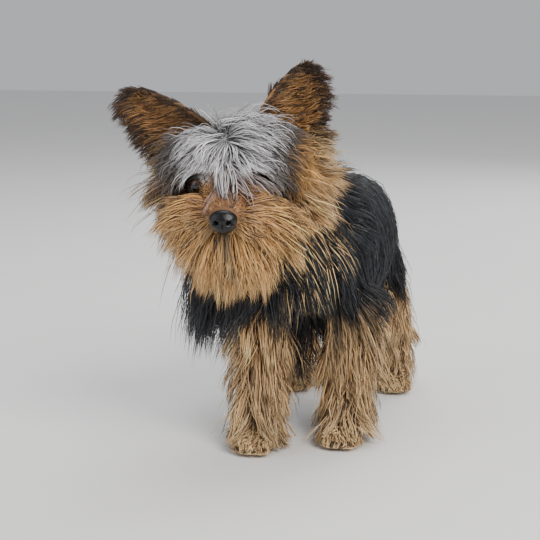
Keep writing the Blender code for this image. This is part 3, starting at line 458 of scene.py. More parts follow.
FEET = tuple(
    Foot(name, side, at, form(side, at, Patch(left, 0.52, wide, 0.20)), Patch(pad, 0.94, 0.05, 0.05))
    for name, side, at, form, left, wide, pad in (
        ("foreleg_left", 1, FORE_LEFT, foreleg, 0.01, 0.22, 0.01),
        ("foreleg_right", -1, FORE_RIGHT, foreleg, 0.25, 0.22, 0.07),
        ("hindleg_left", 1, HIND_LEFT, hindleg, 0.49, 0.24, 0.13),
        ("hindleg_right", -1, HIND_RIGHT, hindleg, 0.75, 0.24, 0.19),
    )
)


def ellipsoid(at: Array, radii: Array, rings: int = 14, sides: int = 20) -> tuple[Array, Array]:
    """A closed ball of three radii.

    Its points are middle + radii * (sin a cos b, sin a sin b, -cos a).

    Args:
        at: Its middle.
        radii: Its radii.
        rings: How many rings from pole to pole.
        sides: How many points round.

    Returns:
        The points and triangles.
    """
    a = np.linspace(0.02, np.pi - 0.02, rings)[:, None]
    b = np.linspace(0, 2 * np.pi, sides, endpoint=False)
    return closed_tube(ways(np.sin(a) * np.cos(b), np.sin(a) * np.sin(b), -np.cos(a)) * radii + at)


def fronted(rings: int, sides: int) -> Array:
    """Vectors of length one all round, in rings from the front, at -Y, to the back."""
    a = np.linspace(0.02, np.pi - 0.02, rings)[:, None]
    b = np.linspace(0, 2 * np.pi, sides, endpoint=False)
    return ways(np.sin(a) * np.cos(b), -np.cos(a), np.sin(a) * np.sin(b))


@dataclass(frozen=True)
class Ear:
    """One ear: a pointed cup whose leather stands on the skull and leans outwards."""

    name: str
    side: int
    base: tuple
    out: float
    back: float
    spin: float
    patch: Patch

    @property
    def pose(self) -> Array:
        """From the ear's frame, +Z to its tip, +X across and -Y the way it opens, to the dog's."""
        lean = turned("Y", self.side * self.out) @ turned("X", self.back)
        return HEAD_POSE @ moved(self.base) @ (lean @ turned("Z", self.side * self.spin))

    def surface(self, u: Array, v: Array, depth: float) -> Array:
        """Points of the leather.

        The half width is EAR_WIDE * (1-u)^0.62 * (0.80 + 0.75u - 0.35u^2), and the hollow is
        EAR_CUP * (1-u)^0.5 * (1 - v^2), which sets the middle back from the edges.

        Args:
            u: From the base at 0 to the tip at 1.
            v: Across, from -1 to 1.
            depth: How far behind the front face.

        Returns:
            Points in the dog's frame.
        """
        half = EAR_WIDE * (1 - u) ** 0.62 * (0.80 + 0.75 * u - 0.35 * u * u)
        hollow = EAR_CUP * (1 - u) ** 0.5 * (1 - v * v)
        y = hollow + depth - 0.14 * EAR_WIDE * u * u
        return placed(self.pose, ways(half * v, y, EAR_HIGH * u - EAR_SUNK))

    def shell(self, rows: int = 40, columns: int = 34) -> tuple[Array, Array]:
        """The leather as a closed mesh: each ring runs over the front and back over the rear."""
        u = np.linspace(0.0, 0.985, rows)[:, None]
        v = np.linspace(-1, 1, columns)
        front = self.surface(u + 0 * v, v + 0 * u, 0.0)
        rear = self.surface(u + 0 * v, v[::-1] + 0 * u, EAR_THICK)
        return closed_tube(np.concatenate([front, rear], axis=1))


EARS = (
    Ear("ear_left", 1, (0.0300, 0.006, 0.0200), 17.0, -4.0, 16.0, Patch(0.01, 0.74, 0.22, 0.18)),
    Ear("ear_right", -1, (-0.0290, 0.006, 0.0200), 49.0, -6.0, 18.0, Patch(0.25, 0.74, 0.22, 0.18)),
)


def joined(parts: list[tuple[Array, Array]]) -> tuple[Array, Array]:
    """Several meshes as one list of points and triangles.

    Args:
        parts: The meshes.

    Returns:
        The points and triangles.
    """
    points, faces, start = [], [], 0
    for spots, sides in parts:
        points.append(spots)
        faces.append(sides + start)
        start += len(spots)
    return np.concatenate(points), np.concatenate(faces)


def faced_out(points: Array, faces: Array) -> Array:
    """Triangles turned so that the volume they close is positive."""
    a, b, c = (points[faces[:, k]] for k in range(3))
    swept = np.einsum("ij,ij->i", a, np.cross(b, c)).sum()
    return faces if swept > 0 else faces[:, ::-1]


def make_mesh(name: str, points: Array, faces: Array) -> bpy.types.Mesh:
    """A mesh of triangles with smooth shading.

    Args:
        name: The mesh's name.
        points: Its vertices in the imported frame.
        faces: Rows of three vertex numbers.

    Returns:
        The new mesh.
    """
    mesh = bpy.data.meshes.new(name)
    mesh.vertices.add(len(points))
    mesh.vertices.foreach_set("co", np.ascontiguousarray(points, dtype=np.float32).ravel())
    mesh.loops.add(faces.size)
    mesh.loops.foreach_set("vertex_index", np.ascontiguousarray(faces, dtype=np.int32).ravel())
    mesh.polygons.add(len(faces))
    mesh.polygons.foreach_set("loop_start", np.arange(0, faces.size, 3, dtype=np.int32))
    mesh.polygons.foreach_set("use_smooth", np.ones(len(faces), dtype=bool))
    mesh.update(calc_edges=True)
    return mesh


def make_object(name: str, mesh: bpy.types.Mesh) -> bpy.types.Object:
    """An object at the origin that holds a mesh, linked to the scene."""
    made = bpy.data.objects.new(name, mesh)
    bpy.context.scene.collection.objects.link(made)
    return made


def paint(mesh: bpy.types.Mesh, colours: Array) -> None:
    """Give a mesh the colour attribute that its material reads, one colour a vertex."""
    layer = mesh.color_attributes.new("shade", "FLOAT_COLOR", "POINT")
    rgba = np.concatenate([colours, np.ones((len(colours), 1))], axis=1)
    layer.data.foreach_set("color", rgba.astype(np.float32).ravel())


def read_mesh(mesh: bpy.types.Mesh) -> tuple[Array, Array]:
    """The points and triangles of a mesh.

    Args:
        mesh: The mesh.

    Returns:
        Its points in three columns, and its triangles.
    """
    mesh.calc_loop_triangles()
    points = np.empty(len(mesh.vertices) * 3, np.float32)
    mesh.vertices.foreach_get("co", points)
    faces = np.empty(len(mesh.loop_triangles) * 3, np.int32)
    mesh.loop_triangles.foreach_get("vertices", faces)
    return points.reshape(-1, 3).astype(float), faces.reshape(-1, 3)


def fused(name: str, parts: list[tuple[Array, Array]], cell: float, rounds: int) -> tuple[Array, Array]:
    """Melt overlapping closed meshes into one skin, by a voxel remesh, and smooth it.

    Args:
        name: Name for the passing object.
        parts: The meshes.
        cell: The size of a voxel.
        rounds: How often the skin is smoothed.

    Returns:
        The points and triangles of the skin.
    """
    turned_out = [(points, faced_out(points, faces)) for points, faces in parts]
    thing = make_object(name, make_mesh(name, *joined(turned_out)))
    remesh = thing.modifiers.new("melt", "REMESH")
    remesh.mode = "VOXEL"
    remesh.voxel_size = cell
    soften = thing.modifiers.new("soften", "SMOOTH")
    soften.iterations = rounds
    soften.factor = 0.5
    graph = bpy.context.evaluated_depsgraph_get()
    mesh = bpy.data.meshes.new_from_object(thing.evaluated_get(graph))
    bpy.data.objects.remove(thing, do_unlink=True)
    points, faces = read_mesh(mesh)
    bpy.data.meshes.remove(mesh)
    return points, faces


def refined(points: Array, faces: Array, spots: Array, reach: float) -> tuple[Array, Array]:
    """Halve the edges of every triangle near some spots, and split their neighbours to fit.

    Args:
        points: The vertices.
        faces: The triangles.
        spots: The spots.
        reach: How near a triangle's first corner must be to one of them.

    Returns:
        The finer points and triangles.
    """
    gap = np.linalg.norm(points[faces[:, 0], None] - spots[None], axis=2).min(axis=1)
    pairs = np.sort(np.stack([faces, np.roll(faces, -1, axis=1)], axis=2), axis=2)
    keys = pairs[..., 0].astype(np.int64) * len(points) + pairs[..., 1]
    split = np.unique(keys[gap < reach])
    found = np.searchsorted(split, keys).clip(0, len(split) - 1)
    halved = split[found] == keys
    mids = np.where(halved, found + len(points), -1)
    centres = (points[split // len(points)] + points[split % len(points)]) / 2
    count = halved.sum(axis=1)
    made = [faces[count == 0]]
    for number in (1, 2, 3):
        f, m, h = faces[count == number], mids[count == number], halved[count == number]
        turn = np.zeros(len(f), int)
        if number < 3:
            turn = np.argmax(h, axis=1) if number == 1 else (np.argmin(h, axis=1) + 1) % 3
        order = (turn[:, None] + np.arange(3)) % 3
        a, b, c = np.take_along_axis(f, order, 1).T
        ab, bc, ca = np.take_along_axis(m, order, 1).T
        cut = {
            1: [(a, ab, c), (ab, b, c)],
            2: [(ab, b, bc), (a, ab, bc), (a, bc, c)],
            3: [(a, ab, ca), (ab, b, bc), (ca, bc, c), (ab, bc, ca)],
        }[number]
        made += [np.stack(corners, axis=1) for corners in cut]
    return np.concatenate([points, centres]), np.concatenate(made)


class Field:
    """How far each place lies from the flesh, on a grid that is read between its points."""

    STEP = 0.0045
    PAD = 0.045

    def __init__(self, points: Array, faces: Array) -> None:
        """Measure the grid against a closed mesh.

        Args:
            points: Its vertices.
            faces: Its triangles.
        """
        tree = BVHTree.FromPolygons(points.tolist(), faces.tolist())
        self.low = points.min(axis=0) - self.PAD
        count = np.ceil((points.max(axis=0) + self.PAD - self.low) / self.STEP).astype(int) + 1
        axes = [self.low[k] + np.arange(count[k]) * self.STEP for k in range(3)]
        spots = np.stack(np.meshgrid(*axes, indexing="ij"), axis=-1).reshape(-1, 3)
        far = np.empty(len(spots))
        for k, spot in enumerate(spots.tolist()):
            near, normal, _, distance = tree.find_nearest(spot)
            inside = sum((spot[axis] - near[axis]) * normal[axis] for axis in range(3))
            far[k] = distance if inside > 0 else -distance
        far = far.reshape(count)
        slopes = np.gradient(far, self.STEP)
        self.grid = np.stack([far, *slopes], axis=-1)

    def at(self, points: Array) -> tuple[Array, Array]:
        """The distance from the flesh and the way out of it at any points.

        Args:
            points: Places in the dog's frame.

        Returns:
            The distances, below 0 inside, and the ways out.
        """
        shape = np.array(self.grid.shape[:3])
        place = np.clip((points - self.low) / self.STEP, 0.001, shape - 1.001)
        i = place.astype(int)
        f = place - i
        total = 0.0
        for corner in range(8):
            step = np.array([corner & 1, corner >> 1 & 1, corner >> 2 & 1])
            weight = np.prod(np.where(step, f, 1 - f), axis=-1)[..., None]
            x, y, z = (i[..., k] + step[k] for k in range(3))
            total = total + self.grid[x, y, z] * weight
        return total[..., 0], unit(total[..., 1:])


class Tone(Enum):
    """The colours of the coat, as linear light."""

    BLACK = (0.0065, 0.0075, 0.0100)
    # Lighter steel blue of the strands that paint the black coat's sheen
    STEEL_SHEEN = (0.045, 0.053, 0.070)
    SILVER = (0.64, 0.64, 0.67)
    SMOKE = (0.105, 0.088, 0.078)
    GOLD = (0.78, 0.41, 0.118)
    CREAM = (0.90, 0.68, 0.38)
    TAN = (0.55, 0.285, 0.098)
    RUST = (0.24, 0.095, 0.034)
    BROWN = (0.050, 0.027, 0.015)

    @property
    def light(self) -> Array:
        """The colour as an array."""
        return np.array(self.value)

    def over(self, points: Array) -> Array:
        """The colour at every one of some places."""
        return np.broadcast_to(self.light, points.shape)


def blend(one: Array, two: Array, weight: Array) -> Array:
    """Colours part of the way from one to two."""
    return one + (two - one) * weight[..., None]


class Markings:
    """Where each colour of the coat lies. The skin and the coat both read it."""

    def face(self, points: Array) -> Array:
        """Colours of the head: silver crown, smoky sides of it, gold face and rust muzzle,
        with painted shade over the right side of the face and under the nose.

        Args:
            points: Places in the dog's frame.

        Returns:
            Linear colours.
        """
        q = placed(HEAD_BACK, points)
        x, y, z = q.T
        part = x + PARTING
        shade = Tone.GOLD.over(points)
        # Painted shade: the right side of the face goes towards dark tan, as if turned from the light
        dim = smooth(0.004, 0.022, -x) * smooth(-0.034, -0.020, y)
        shade = blend(shade, Tone.TAN.light * 0.75, dim * 0.8)
        top = smooth(0.002, 0.012, z)
        smoke = blend(Tone.SMOKE.over(points), Tone.GOLD.light * 0.7, smooth(0.019, 0.029, x))
        silver = smooth(0.021, 0.010, np.abs(part) - 0.004 * smooth(-0.010, 0.010, x))
        crown = blend(smoke, Tone.SILVER.light, silver)
        crown = blend(crown, Tone.SMOKE.light, smooth(0.006, 0.022, y) * 0.8)
        shade = blend(shade, crown, top)
        temple = smooth(-0.016, 0.002, z) * (1 - top) * smooth(-0.024, -0.010, y)
        shade = blend(shade, Tone.SMOKE.light * 1.2, temple * (0.35 + 0.5 * smooth(0.0, 0.02, -x)))
        shade = blend(shade, Tone.BLACK.light, smooth(0.022, 0.034, y))
        off = np.abs(x)
        muzzle = smooth(-0.030, -0.040, y) * smooth(-0.018, -0.006, z) * smooth(0.018, 0.010, off)
        shade = blend(shade, Tone.RUST.light, muzzle * 0.85)
        shade = blend(shade, Tone.BROWN.light * 1.5, smooth(0.016, 0.010, eye_gap(q)) * 0.7)
        # Painted shadow under the nose: the hair just below it goes near black
        lip = smooth(-0.054, -0.059, y) * smooth(-0.013, -0.018, z) * smooth(0.011, 0.006, off)
        return blend(shade, Tone.BLACK.light * 2, lip * 0.85)

    def leg(self, points: Array) -> Array:
        """Colours of a leg: tan below, black where it goes under the body coat.

        Args:
            points: Places in the dog's frame.

        Returns:
            Linear colours.
        """
        z = points[..., 2]
        shade = blend(Tone.TAN.over(points), Tone.CREAM.light, 0.5 * smooth(0.070, 0.020, z))
        return blend(shade, Tone.BLACK.light, smooth(0.114, 0.126, z))

    def ear(self, u: Array, v: Array) -> Array:
        """Colours of an ear: rust within, dark brown along its edges and towards its tip.

        Args:
            u: From the base at 0 to the tip at 1.
            v: Across, from -1 to 1.

        Returns:
            Linear colours.
        """
        rust = np.broadcast_to(Tone.TAN.light * 0.62, u.shape + (3,))
        edge = np.maximum(smooth(0.66, 0.95, np.abs(v)), smooth(0.78, 0.97, u))
        return blend(rust, Tone.BROWN.light, edge)

    def skin(self, points: Array) -> Array:
        """Colours of the skin all over, darker than the coat that it shows through.

        Args:
            points: Places in the dog's frame.

        Returns:
            Linear colours.
        """
        q = placed(HEAD_BACK, points)
        far = np.linalg.norm(q - np.array((0.0, -0.018, -0.004)), axis=-1)
        shade = Tone.BLACK.over(points)
        low = smooth(0.112, 0.100, points[..., 2]) * smooth(0.118, 0.112, points[..., 1])
        shade = blend(shade, self.leg(points) * 0.55, low)
        shade = blend(shade, self.face(points) * 0.5, smooth(0.056, 0.050, far))
        for ear in EARS:
            r = placed(np.linalg.inv(ear.pose), points)
            near = smooth(-0.004, 0.002, r[..., 2]) * smooth(0.034, 0.030, np.abs(r[..., 0]))
            near = near * smooth(0.020, 0.016, np.abs(r[..., 1]))
            u = np.clip((r[..., 2] + EAR_SUNK) / EAR_HIGH, 0, 1)
            inner = self.ear(u, r[..., 0] / EAR_WIDE) * 0.8
            shade = blend(shade, inner, near)
        lips = smooth(-0.050, -0.056, q[..., 1]) * smooth(0.004, 0.0, np.abs(q[..., 2] + MOUTH_LOW))
        return blend(shade, Tone.BLACK.light, lips * smooth(0.056, 0.050, far))


MARKINGS = Markings()


@dataclass(frozen=True)
class Lie:
    """How one stretch of coat lies.

    lift is its height over the skin once it has run for rise, fall how hard it is drawn
    down, cling how far hair above that height is drawn back to it, and stand how steeply
    it leaves the skin. wide is a strand's width. clump draws hair together at the tips in
    groups of crowd, loose is its scatter in direction, wave the size of its bends, rings
    the cross-sections of a strand, stray the share of loose hairs, and dim the share of
    its colour that the roots keep. That darkening of the roots is partly the hair's own
    darker roots and partly painted shade deep in the coat and between its locks.
    """

    lift: float
    rise: float
    fall: float
    cling: float
    stand: float
    wide: float
    clump: float
    crowd: int
    loose: float
    wave: float
    rings: int
    stray: float = 0.06
    dim: float = 0.5


class Stretch(Enum):
    """The stretches of the coat: the record's slot of each, and how it lies."""

    BODY = "black_coat", Lie(0.0095, 0.030, 0.55, 0.30, 0.30, 0.00088, 0.84, 20, 0.11, 0.0007, 5)
    BELLY = "black_coat", Lie(0.0200, 0.030, 0.90, 0.00, 0.80, 0.00088, 0.86, 20, 0.16, 0.0010, 5)
    NECK = "black_coat", Lie(0.0200, 0.030, 0.46, 0.04, 0.65, 0.00085, 0.86, 20, 0.17, 0.0011, 6, 0.03)
    TAIL = "black_coat", Lie(0.0080, 0.020, 0.70, 0.15, 0.35, 0.00080, 0.80, 14, 0.12, 0.0008, 5)
    CROWN = (
        "silver_coat",
        Lie(0.0125, 0.016, 0.42, 0.12, 0.60, 0.00070, 0.90, 18, 0.21, 0.0009, 6, 0.09, 0.26),
    )
    CHEEK = (
        "gold_coat",
        Lie(0.0270, 0.024, 0.46, 0.02, 0.90, 0.00075, 0.92, 24, 0.20, 0.0013, 6, 0.07, 0.40),
    )
    LIDS = (
        "gold_coat",
        Lie(0.0016, 0.008, 0.10, 0.30, 0.30, 0.00050, 0.55, 7, 0.20, 0.0004, 4, 0.05, 0.35),
    )
    MUZZLE = (
        "gold_coat",
        Lie(0.0036, 0.010, 0.10, 0.20, 0.45, 0.00056, 0.60, 8, 0.20, 0.0005, 4, 0.05, 0.30),
    )
    MOUSTACHE = (
        "gold_coat",
        Lie(0.0200, 0.020, 0.55, 0.02, 0.80, 0.00068, 0.90, 20, 0.18, 0.0012, 6, 0.06, 0.40),
    )
    BEARD = (
        "gold_coat",
        Lie(0.0130, 0.030, 0.62, 0.00, 0.60, 0.00072, 0.93, 26, 0.16, 0.0013, 6, 0.06, 0.40),
    )
    LEG = (
        "tan_coat",
        Lie(0.0205, 0.022, 0.55, 0.04, 0.72, 0.00082, 0.93, 20, 0.21, 0.0014, 5, 0.06, 0.36),
    )
    PAW = "tan_coat", Lie(0.0050, 0.008, 0.25, 0.10, 0.45, 0.00062, 0.70, 9, 0.12, 0.0003, 4)
    EAR = "ear_coat", Lie(0.0000, 1.000, 0.24, 0.00, 1.00, 0.00066, 0.90, 12, 0.19, 0.0012, 5)


@dataclass(frozen=True)
class Hair:
    """Hair to be grown, one row each.

    The rows are the places of the roots, the ways out of the skin, the places on the
    unwrap, the ways that the hair wants to go, the lengths, the colours at root and tip,
    and puff, which scales the lift and the stand.
    """

    at: Array
    out: Array
    uv: Array
    flow: Array
    longs: Array
    colours: Array
    tips: Array
    puff: Array

    @classmethod
    def sown(
        cls,
        sites: Sequence,
        flow: Array,
        longs: Array | float,
        tones: Sequence,
        puff: Array | float,
    ) -> "Hair":
        """Hair for sites and flows, with one length or puff for each hair or for all.

        Args:
            sites: The roots, the ways out and the places on the unwrap.
            flow: The ways that the hair wants to go.
            longs: The lengths.
            tones: The colours at root and tip.
            puff: What scales the lift and the stand.

        Returns:
            The hair.
        """
        even = np.ones(len(flow))
        return cls(*sites, flow, longs * even, *tones, puff * even)

    def only(self, keep: Array) -> "Hair":
        """The rows that a mask keeps."""
        return Hair(*(getattr(self, name)[keep] for name in self.__dataclass_fields__))


class Strands:
    """Hair as closed, tapered, three sided strands on a stretch of skin.

    A path has STEPS steps. PROFILE is the width along it, PATCH the side of a strand's
    patch on the unwrap, PULL the weight of hair, and ROOT and EAR_ROOT how deep it starts.
    """

    STEPS = 12
    PROFILE = ((0.0, 0.25, 0.6, 0.85, 1.0), (0.75, 1.0, 0.95, 0.6, 0.0))
    PATCH = 0.003
    PULL = 30.0
    ROOT = 0.0012
    EAR_ROOT = 0.0006

    def __init__(self, field: Field, rng: np.random.Generator, stretch: Stretch, hair: Hair) -> None:
        """Take what the hair grows on.

        Args:
            field: The field that it lies over.
            rng: The source of chance.
            stretch: The stretch of the coat.
            hair: The hair.
        """
        self.field = field
        self.rng = rng
        self.slot, self.lie = stretch.value
        self.hair = hair
        self.count = len(hair.at)
        self.longs = hair.longs * rng.uniform(0.74, 1.14, self.count)
        self.stray = rng.random(self.count) < self.lie.stray
        self.mood = np.ones(self.count)

    def grown(self) -> Array:
        """Paths of hair: each steps on along its way, bends down and keeps over the skin.

        At each step the way gains a pull down. Where the hair comes nearer to the skin
        than its height there, it is pushed out along the way out, and where it is higher
        it is drawn back by cling. Its way then turns towards where it really went.

        Returns:
            Points of shape count, STEPS + 1, 3.
        """
        lie, rng, hair, count = self.lie, self.rng, self.hair, self.count
        flow = unit(hair.flow) + rng.normal(0, lie.loose, (count, 3))
        along = unit(flow - hair.out * np.sum(flow * hair.out, axis=1, keepdims=True))
        puff = hair.puff * np.where(self.stray, 1.5, 1.0)
        steep = lie.stand * puff * rng.uniform(0.6, 1.4, count)
        way = unit(along + hair.out * steep[:, None])
        spot = hair.at - hair.out * self.ROOT
        layer = puff * rng.uniform(0.30, 1.0, count) ** 0.8
        step = (self.longs / self.STEPS)[:, None]
        paths = [spot]
        for k in range(self.STEPS):
            done = (k + 1) / self.STEPS
            way = unit(way + np.array(DOWN) * (lie.fall * self.PULL * step * (0.3 + done)))
            ahead = spot + way * step
            high, rise = self.field.at(ahead)
            want = lie.lift * layer * (1 - np.exp(-step[:, 0] * (k + 1) / lie.rise))
            push = np.where(high < want, want - high, (want - high) * lie.cling)
            ahead = ahead + rise * push[:, None]
            ahead[:, 2] = np.maximum(ahead[:, 2], FLOOR_CLEAR + 0.0025 * layer)
            way = unit(way * 0.4 + unit(ahead - spot) * 0.6)
            spot = ahead
            paths.append(spot)
        return np.stack(paths, axis=1)

    def free(self) -> Array:
        """Paths of hair that stands in the air, each a slow bend towards the ground.

        Returns:
            Points of shape count, STEPS + 1, 3.
        """
        lie, rng, hair = self.lie, self.rng, self.hair
        flow = unit(unit(hair.flow) + rng.normal(0, lie.loose, (self.count, 3)))
        way = unit(flow + hair.out * (lie.stand * hair.puff)[:, None])
        step = (self.longs / self.STEPS)[:, None]
        spot = hair.at - hair.out * self.EAR_ROOT
        paths = [spot]
        for _ in range(self.STEPS):
            way = unit(way + np.array(DOWN) * (lie.fall * self.PULL * step))
            spot = spot + way * step
            paths.append(spot)
        return np.stack(paths, axis=1)

    def clumped(self, paths: Array) -> Array:
        """Paths drawn towards the nearest of a few chosen ones, more so towards the tip.

        Each group also gets a shade of its own, kept in mood.

        Args:
            paths: Points of the paths.

        Returns:
            The points moved.
        """
        lie, rng, roots = self.lie, self.rng, self.hair.at
        s = np.linspace(0, 1, paths.shape[1])[None, :, None]
        held = np.where(self.stray, 0.25, 1.0)[:, None, None]
        for crowd, pull in ((lie.crowd * 5, lie.clump * 0.35), (lie.crowd, lie.clump)):
            leads = rng.choice(self.count, max(self.count // crowd, 1), replace=False)
            lead = nearest(roots, roots[leads])
            guide = paths[leads][lead]
            each = pull * held * rng.uniform(0.6, 1.0, (self.count, 1, 1))
            paths = guide + (paths - guide) * (1 - each * s**1.2)
            self.mood = self.mood * rng.uniform(0.76, 1.18, len(leads))[lead]
        return paths

    def waved(self, paths: Array) -> Array:
        """Paths with a slow bend that neighbours share and a little of their own.

        Args:
            paths: Points of the paths.

        Returns:
            The points moved.
        """
        rng, roots = self.rng, self.hair.at
        s = np.linspace(0, 1, paths.shape[1])[None, :, None]
        shared = np.sin(roots @ np.array([[310.0, 190, 260], [230, 340, 150], [270, 160, 330]]).T)
        own = rng.normal(0, 0.7, roots.shape) * np.where(self.stray, 1.8, 1.0)[:, None]
        phase = rng.uniform(0, 6.28, (self.count, 1, 1))
        reach = (self.longs / 0.05)[:, None, None] * self.lie.wave
        bend = (shared * 1.5 + own)[:, None, :] * np.sin(s * 5.5 + phase * 0.5) * s
        return paths + bend * reach

    def piece(self, name: str, paths: Array) -> int:
        """Make one coat piece of strands along paths.

        Each ring is a triangle: two edges at path -+ side * w/2 and a ridge at path +
        up * w/2, where side is way x out and up is side x way. The last ring is a point.
        On the unwrap a strand is a square patch at its root's place.

        Args:
            name: The piece's name.
            paths: Points of the paths.

        Returns:
            The number of triangles.
        """
        lie, rng, hair, count, rings = self.lie, self.rng, self.hair, self.count, self.lie.rings
        picks = np.linspace(0, self.STEPS, rings)
        line = along_paths(paths, picks[None])
        way = unit(np.gradient(line, axis=1))
        _, out = self.field.at(line)
        side = unit(np.cross(way, out))
        up = np.cross(side, way)
        wide = lie.wide * rng.uniform(0.65, 1.25, (count, 1))
        wide = (wide * np.interp(picks / self.STEPS, *self.PROFILE))[..., None]
        ridge = line + up * wide * 0.5
        ring = np.stack([line - side * wide / 2, ridge, line + side * wide / 2], axis=2)
        points = np.concatenate([ring[:, :-1].reshape(count, -1, 3), line[:, -1:]], axis=1)
        each = points.shape[1]
        points[..., 2] = np.maximum(points[..., 2], STRAND_CLEAR)
        faces = (strand_faces(rings)[None] + (np.arange(count) * each)[:, None, None]).reshape(-1, 3)
        mesh = make_mesh(name, points.reshape(-1, 3) + SHIFT, faces)
        grade = np.append(np.repeat(np.linspace(0, 1, rings)[:-1], 3), 1.0)
        rise = grade[None, :, None]
        shade = hair.colours[:, None] * (1 - rise) + hair.tips[:, None] * rise
        shade = shade * (self.mood * rng.uniform(0.75, 1.2, count))[:, None, None]
        # Roots keep only dim of the colour: partly the hair's own darker roots, partly painted shade
        # deep in the coat
        shade = shade * (lie.dim + (1 - lie.dim) * np.minimum(rise * 2.2, 1.0))
        paint(mesh, np.clip(shade, 0, 0.95).reshape(-1, 3))
        across = np.append(np.tile([0.0, 0.5, 1.0], rings - 1), 0.5)
        spot = np.stack([across, grade], axis=-1) * self.PATCH
        place = (hair.uv[:, None] + spot[None]).reshape(-1, 2)
        layer = mesh.uv_layers.new(name="OFBake")
        layer.uv.foreach_set("vector", place[faces.ravel()].astype(np.float32).ravel())
        dressed(name, mesh, COAT, self.slot)
        return len(faces)


def along_paths(paths: Array, place: Array) -> Array:
    """Points on paths, read between their own points.

    Args:
        paths: Points of shape count, steps, 3.
        place: Where to read, in steps from the root, a row for each path or one for all.

    Returns:
        Points, one for each place.
    """
    low = np.minimum(place.astype(int), paths.shape[1] - 2)
    part = (place - low)[..., None]
    rows = np.arange(len(paths))[:, None]
    return paths[rows, low] * (1 - part) + paths[rows, low + 1] * part


def strand_faces(rings: int) -> Array:
    """Triangles of one strand: a base, three sides between each two rings, and a tip.

    Args:
        rings: The number of cross-sections, of which the last is the tip.

    Returns:
        Rows of three vertex numbers.
    """
    faces = [(0, 2, 1)]
    for ring in range(rings - 2):
        for j in range(3):
            a, b = 3 * ring + j, 3 * ring + (j + 1) % 3
            faces += [(a, b, b + 3), (a, b + 3, a + 3)]
    a = 3 * (rings - 2)
    faces += [(a + j, a + (j + 1) % 3, a + 3) for j in range(3)]
    return np.array(faces)


def nearest(points: Array, leads: Array) -> Array:
    """For each point the number of the nearest lead, in slices to spare memory.

    Args:
        points: The points.
        leads: The leads.

    Returns:
        One number for each point.
    """
    found = []
    for start in range(0, len(points), 2000):
        gap = points[start : start + 2000, None] - leads[None]
        found.append(np.argmin(np.einsum("ijk,ijk->ij", gap, gap), axis=1))
    return np.concatenate(found)


class Shader:
    """A socket of a material's nodes that takes part in sums."""

    def __init__(self, tree: "Tree", socket: bpy.types.NodeSocket) -> None:
        """Hold a socket and the tree it belongs to."""
        self.tree = tree
        self.socket = socket

    def _math(self, kind: str, other: "Shader | float") -> "Shader":
        """A Math node of this kind on this value and another."""
        return self.tree.node("ShaderNodeMath", {"operation": kind}, {0: self, 1: other})

    def __add__(self, other: "Shader | float") -> "Shader":
        """The sum."""
        return self._math("ADD", other)

    def __mul__(self, other: "Shader | float") -> "Shader":
        """The product."""
        return self._math("MULTIPLY", other)

    __radd__ = __add__
    __rmul__ = __mul__


class Tree:
    """The nodes of one material."""

    def __init__(self, name: str) -> None:
        """Start a material that holds only its surface and its output."""
        self.material = bpy.data.materials.new(name)
        self.material.use_nodes = True
        self.nodes = self.material.node_tree.nodes
        self.links = self.material.node_tree.links
        self.surface = self.nodes["Principled BSDF"]

    def node(self, kind: str, settings: dict, inputs: dict, output: int | str = 0) -> Shader:
        """Add a node.

        Args:
            kind: Its type.
            settings: Its own properties.
            inputs: A value or a Shader for each socket, by name or number.
            output: The socket that is handed on.

        Returns:
            That socket.
        """
        made = self.nodes.new(kind)
        for name, value in settings.items():
            setattr(made, name, value)
        for name, value in inputs.items():
            self.feed(made.inputs[name], value)
        return Shader(self, made.outputs[output])

    def feed(self, socket: bpy.types.NodeSocket, value: "Shader | float | tuple") -> None:
        """Link a Shader to a socket, or set its value."""
        if isinstance(value, Shader):
            self.links.new(value.socket, socket)
        else:
            socket.default_value = value

    def set(self, **values: "Shader | float | tuple") -> None:
        """Feed the surface's sockets, named with _ for each blank."""
        for name, value in values.items():
            self.feed(self.surface.inputs[name.replace("_", " ")], value)

    def place(self) -> Shader:
        """Object coordinates."""
        return self.node("ShaderNodeTexCoord", {}, {}, "Object")

    def noise(self, scale: float, detail: float) -> Shader:
        """Noise on Object coordinates."""
        inputs = {"Vector": self.place(), "Scale": scale, "Detail": detail}
        return self.node("ShaderNodeTexNoise", {}, inputs, "Fac")

    def cobbles(self, scale: float) -> Shader:
        """Rounded cells on Object coordinates, low along their edges."""
        inputs = {"Vector": self.place(), "Scale": scale}
        return self.node("ShaderNodeTexVoronoi", {"feature": "DISTANCE_TO_EDGE"}, inputs, "Distance")

    def bump(self, height: Shader, strength: float, distance: float) -> Shader:
        """A bumped normal from a height."""
        inputs = {"Height": height, "Strength": strength, "Distance": distance}
        return self.node("ShaderNodeBump", {}, inputs)

    def mix(self, factor: "Shader | float", one: "Shader | tuple", two: "Shader | tuple") -> Shader:
        """A colour between two."""
        return self.node("ShaderNodeMix", {"data_type": "RGBA"}, {0: factor, 6: one, 7: two}, 2)

    def tinted(self, one: Shader, two: Shader) -> Shader:
        """The product of two colours."""
        settings = {"data_type": "RGBA", "blend_type": "MULTIPLY"}
        return self.node("ShaderNodeMix", settings, {0: 1.0, 6: one, 7: two}, 2)

    def shade(self) -> Shader:
        """The colour that the mesh carries."""
        return self.node("ShaderNodeAttribute", {"attribute_name": "shade"}, {}, "Color")


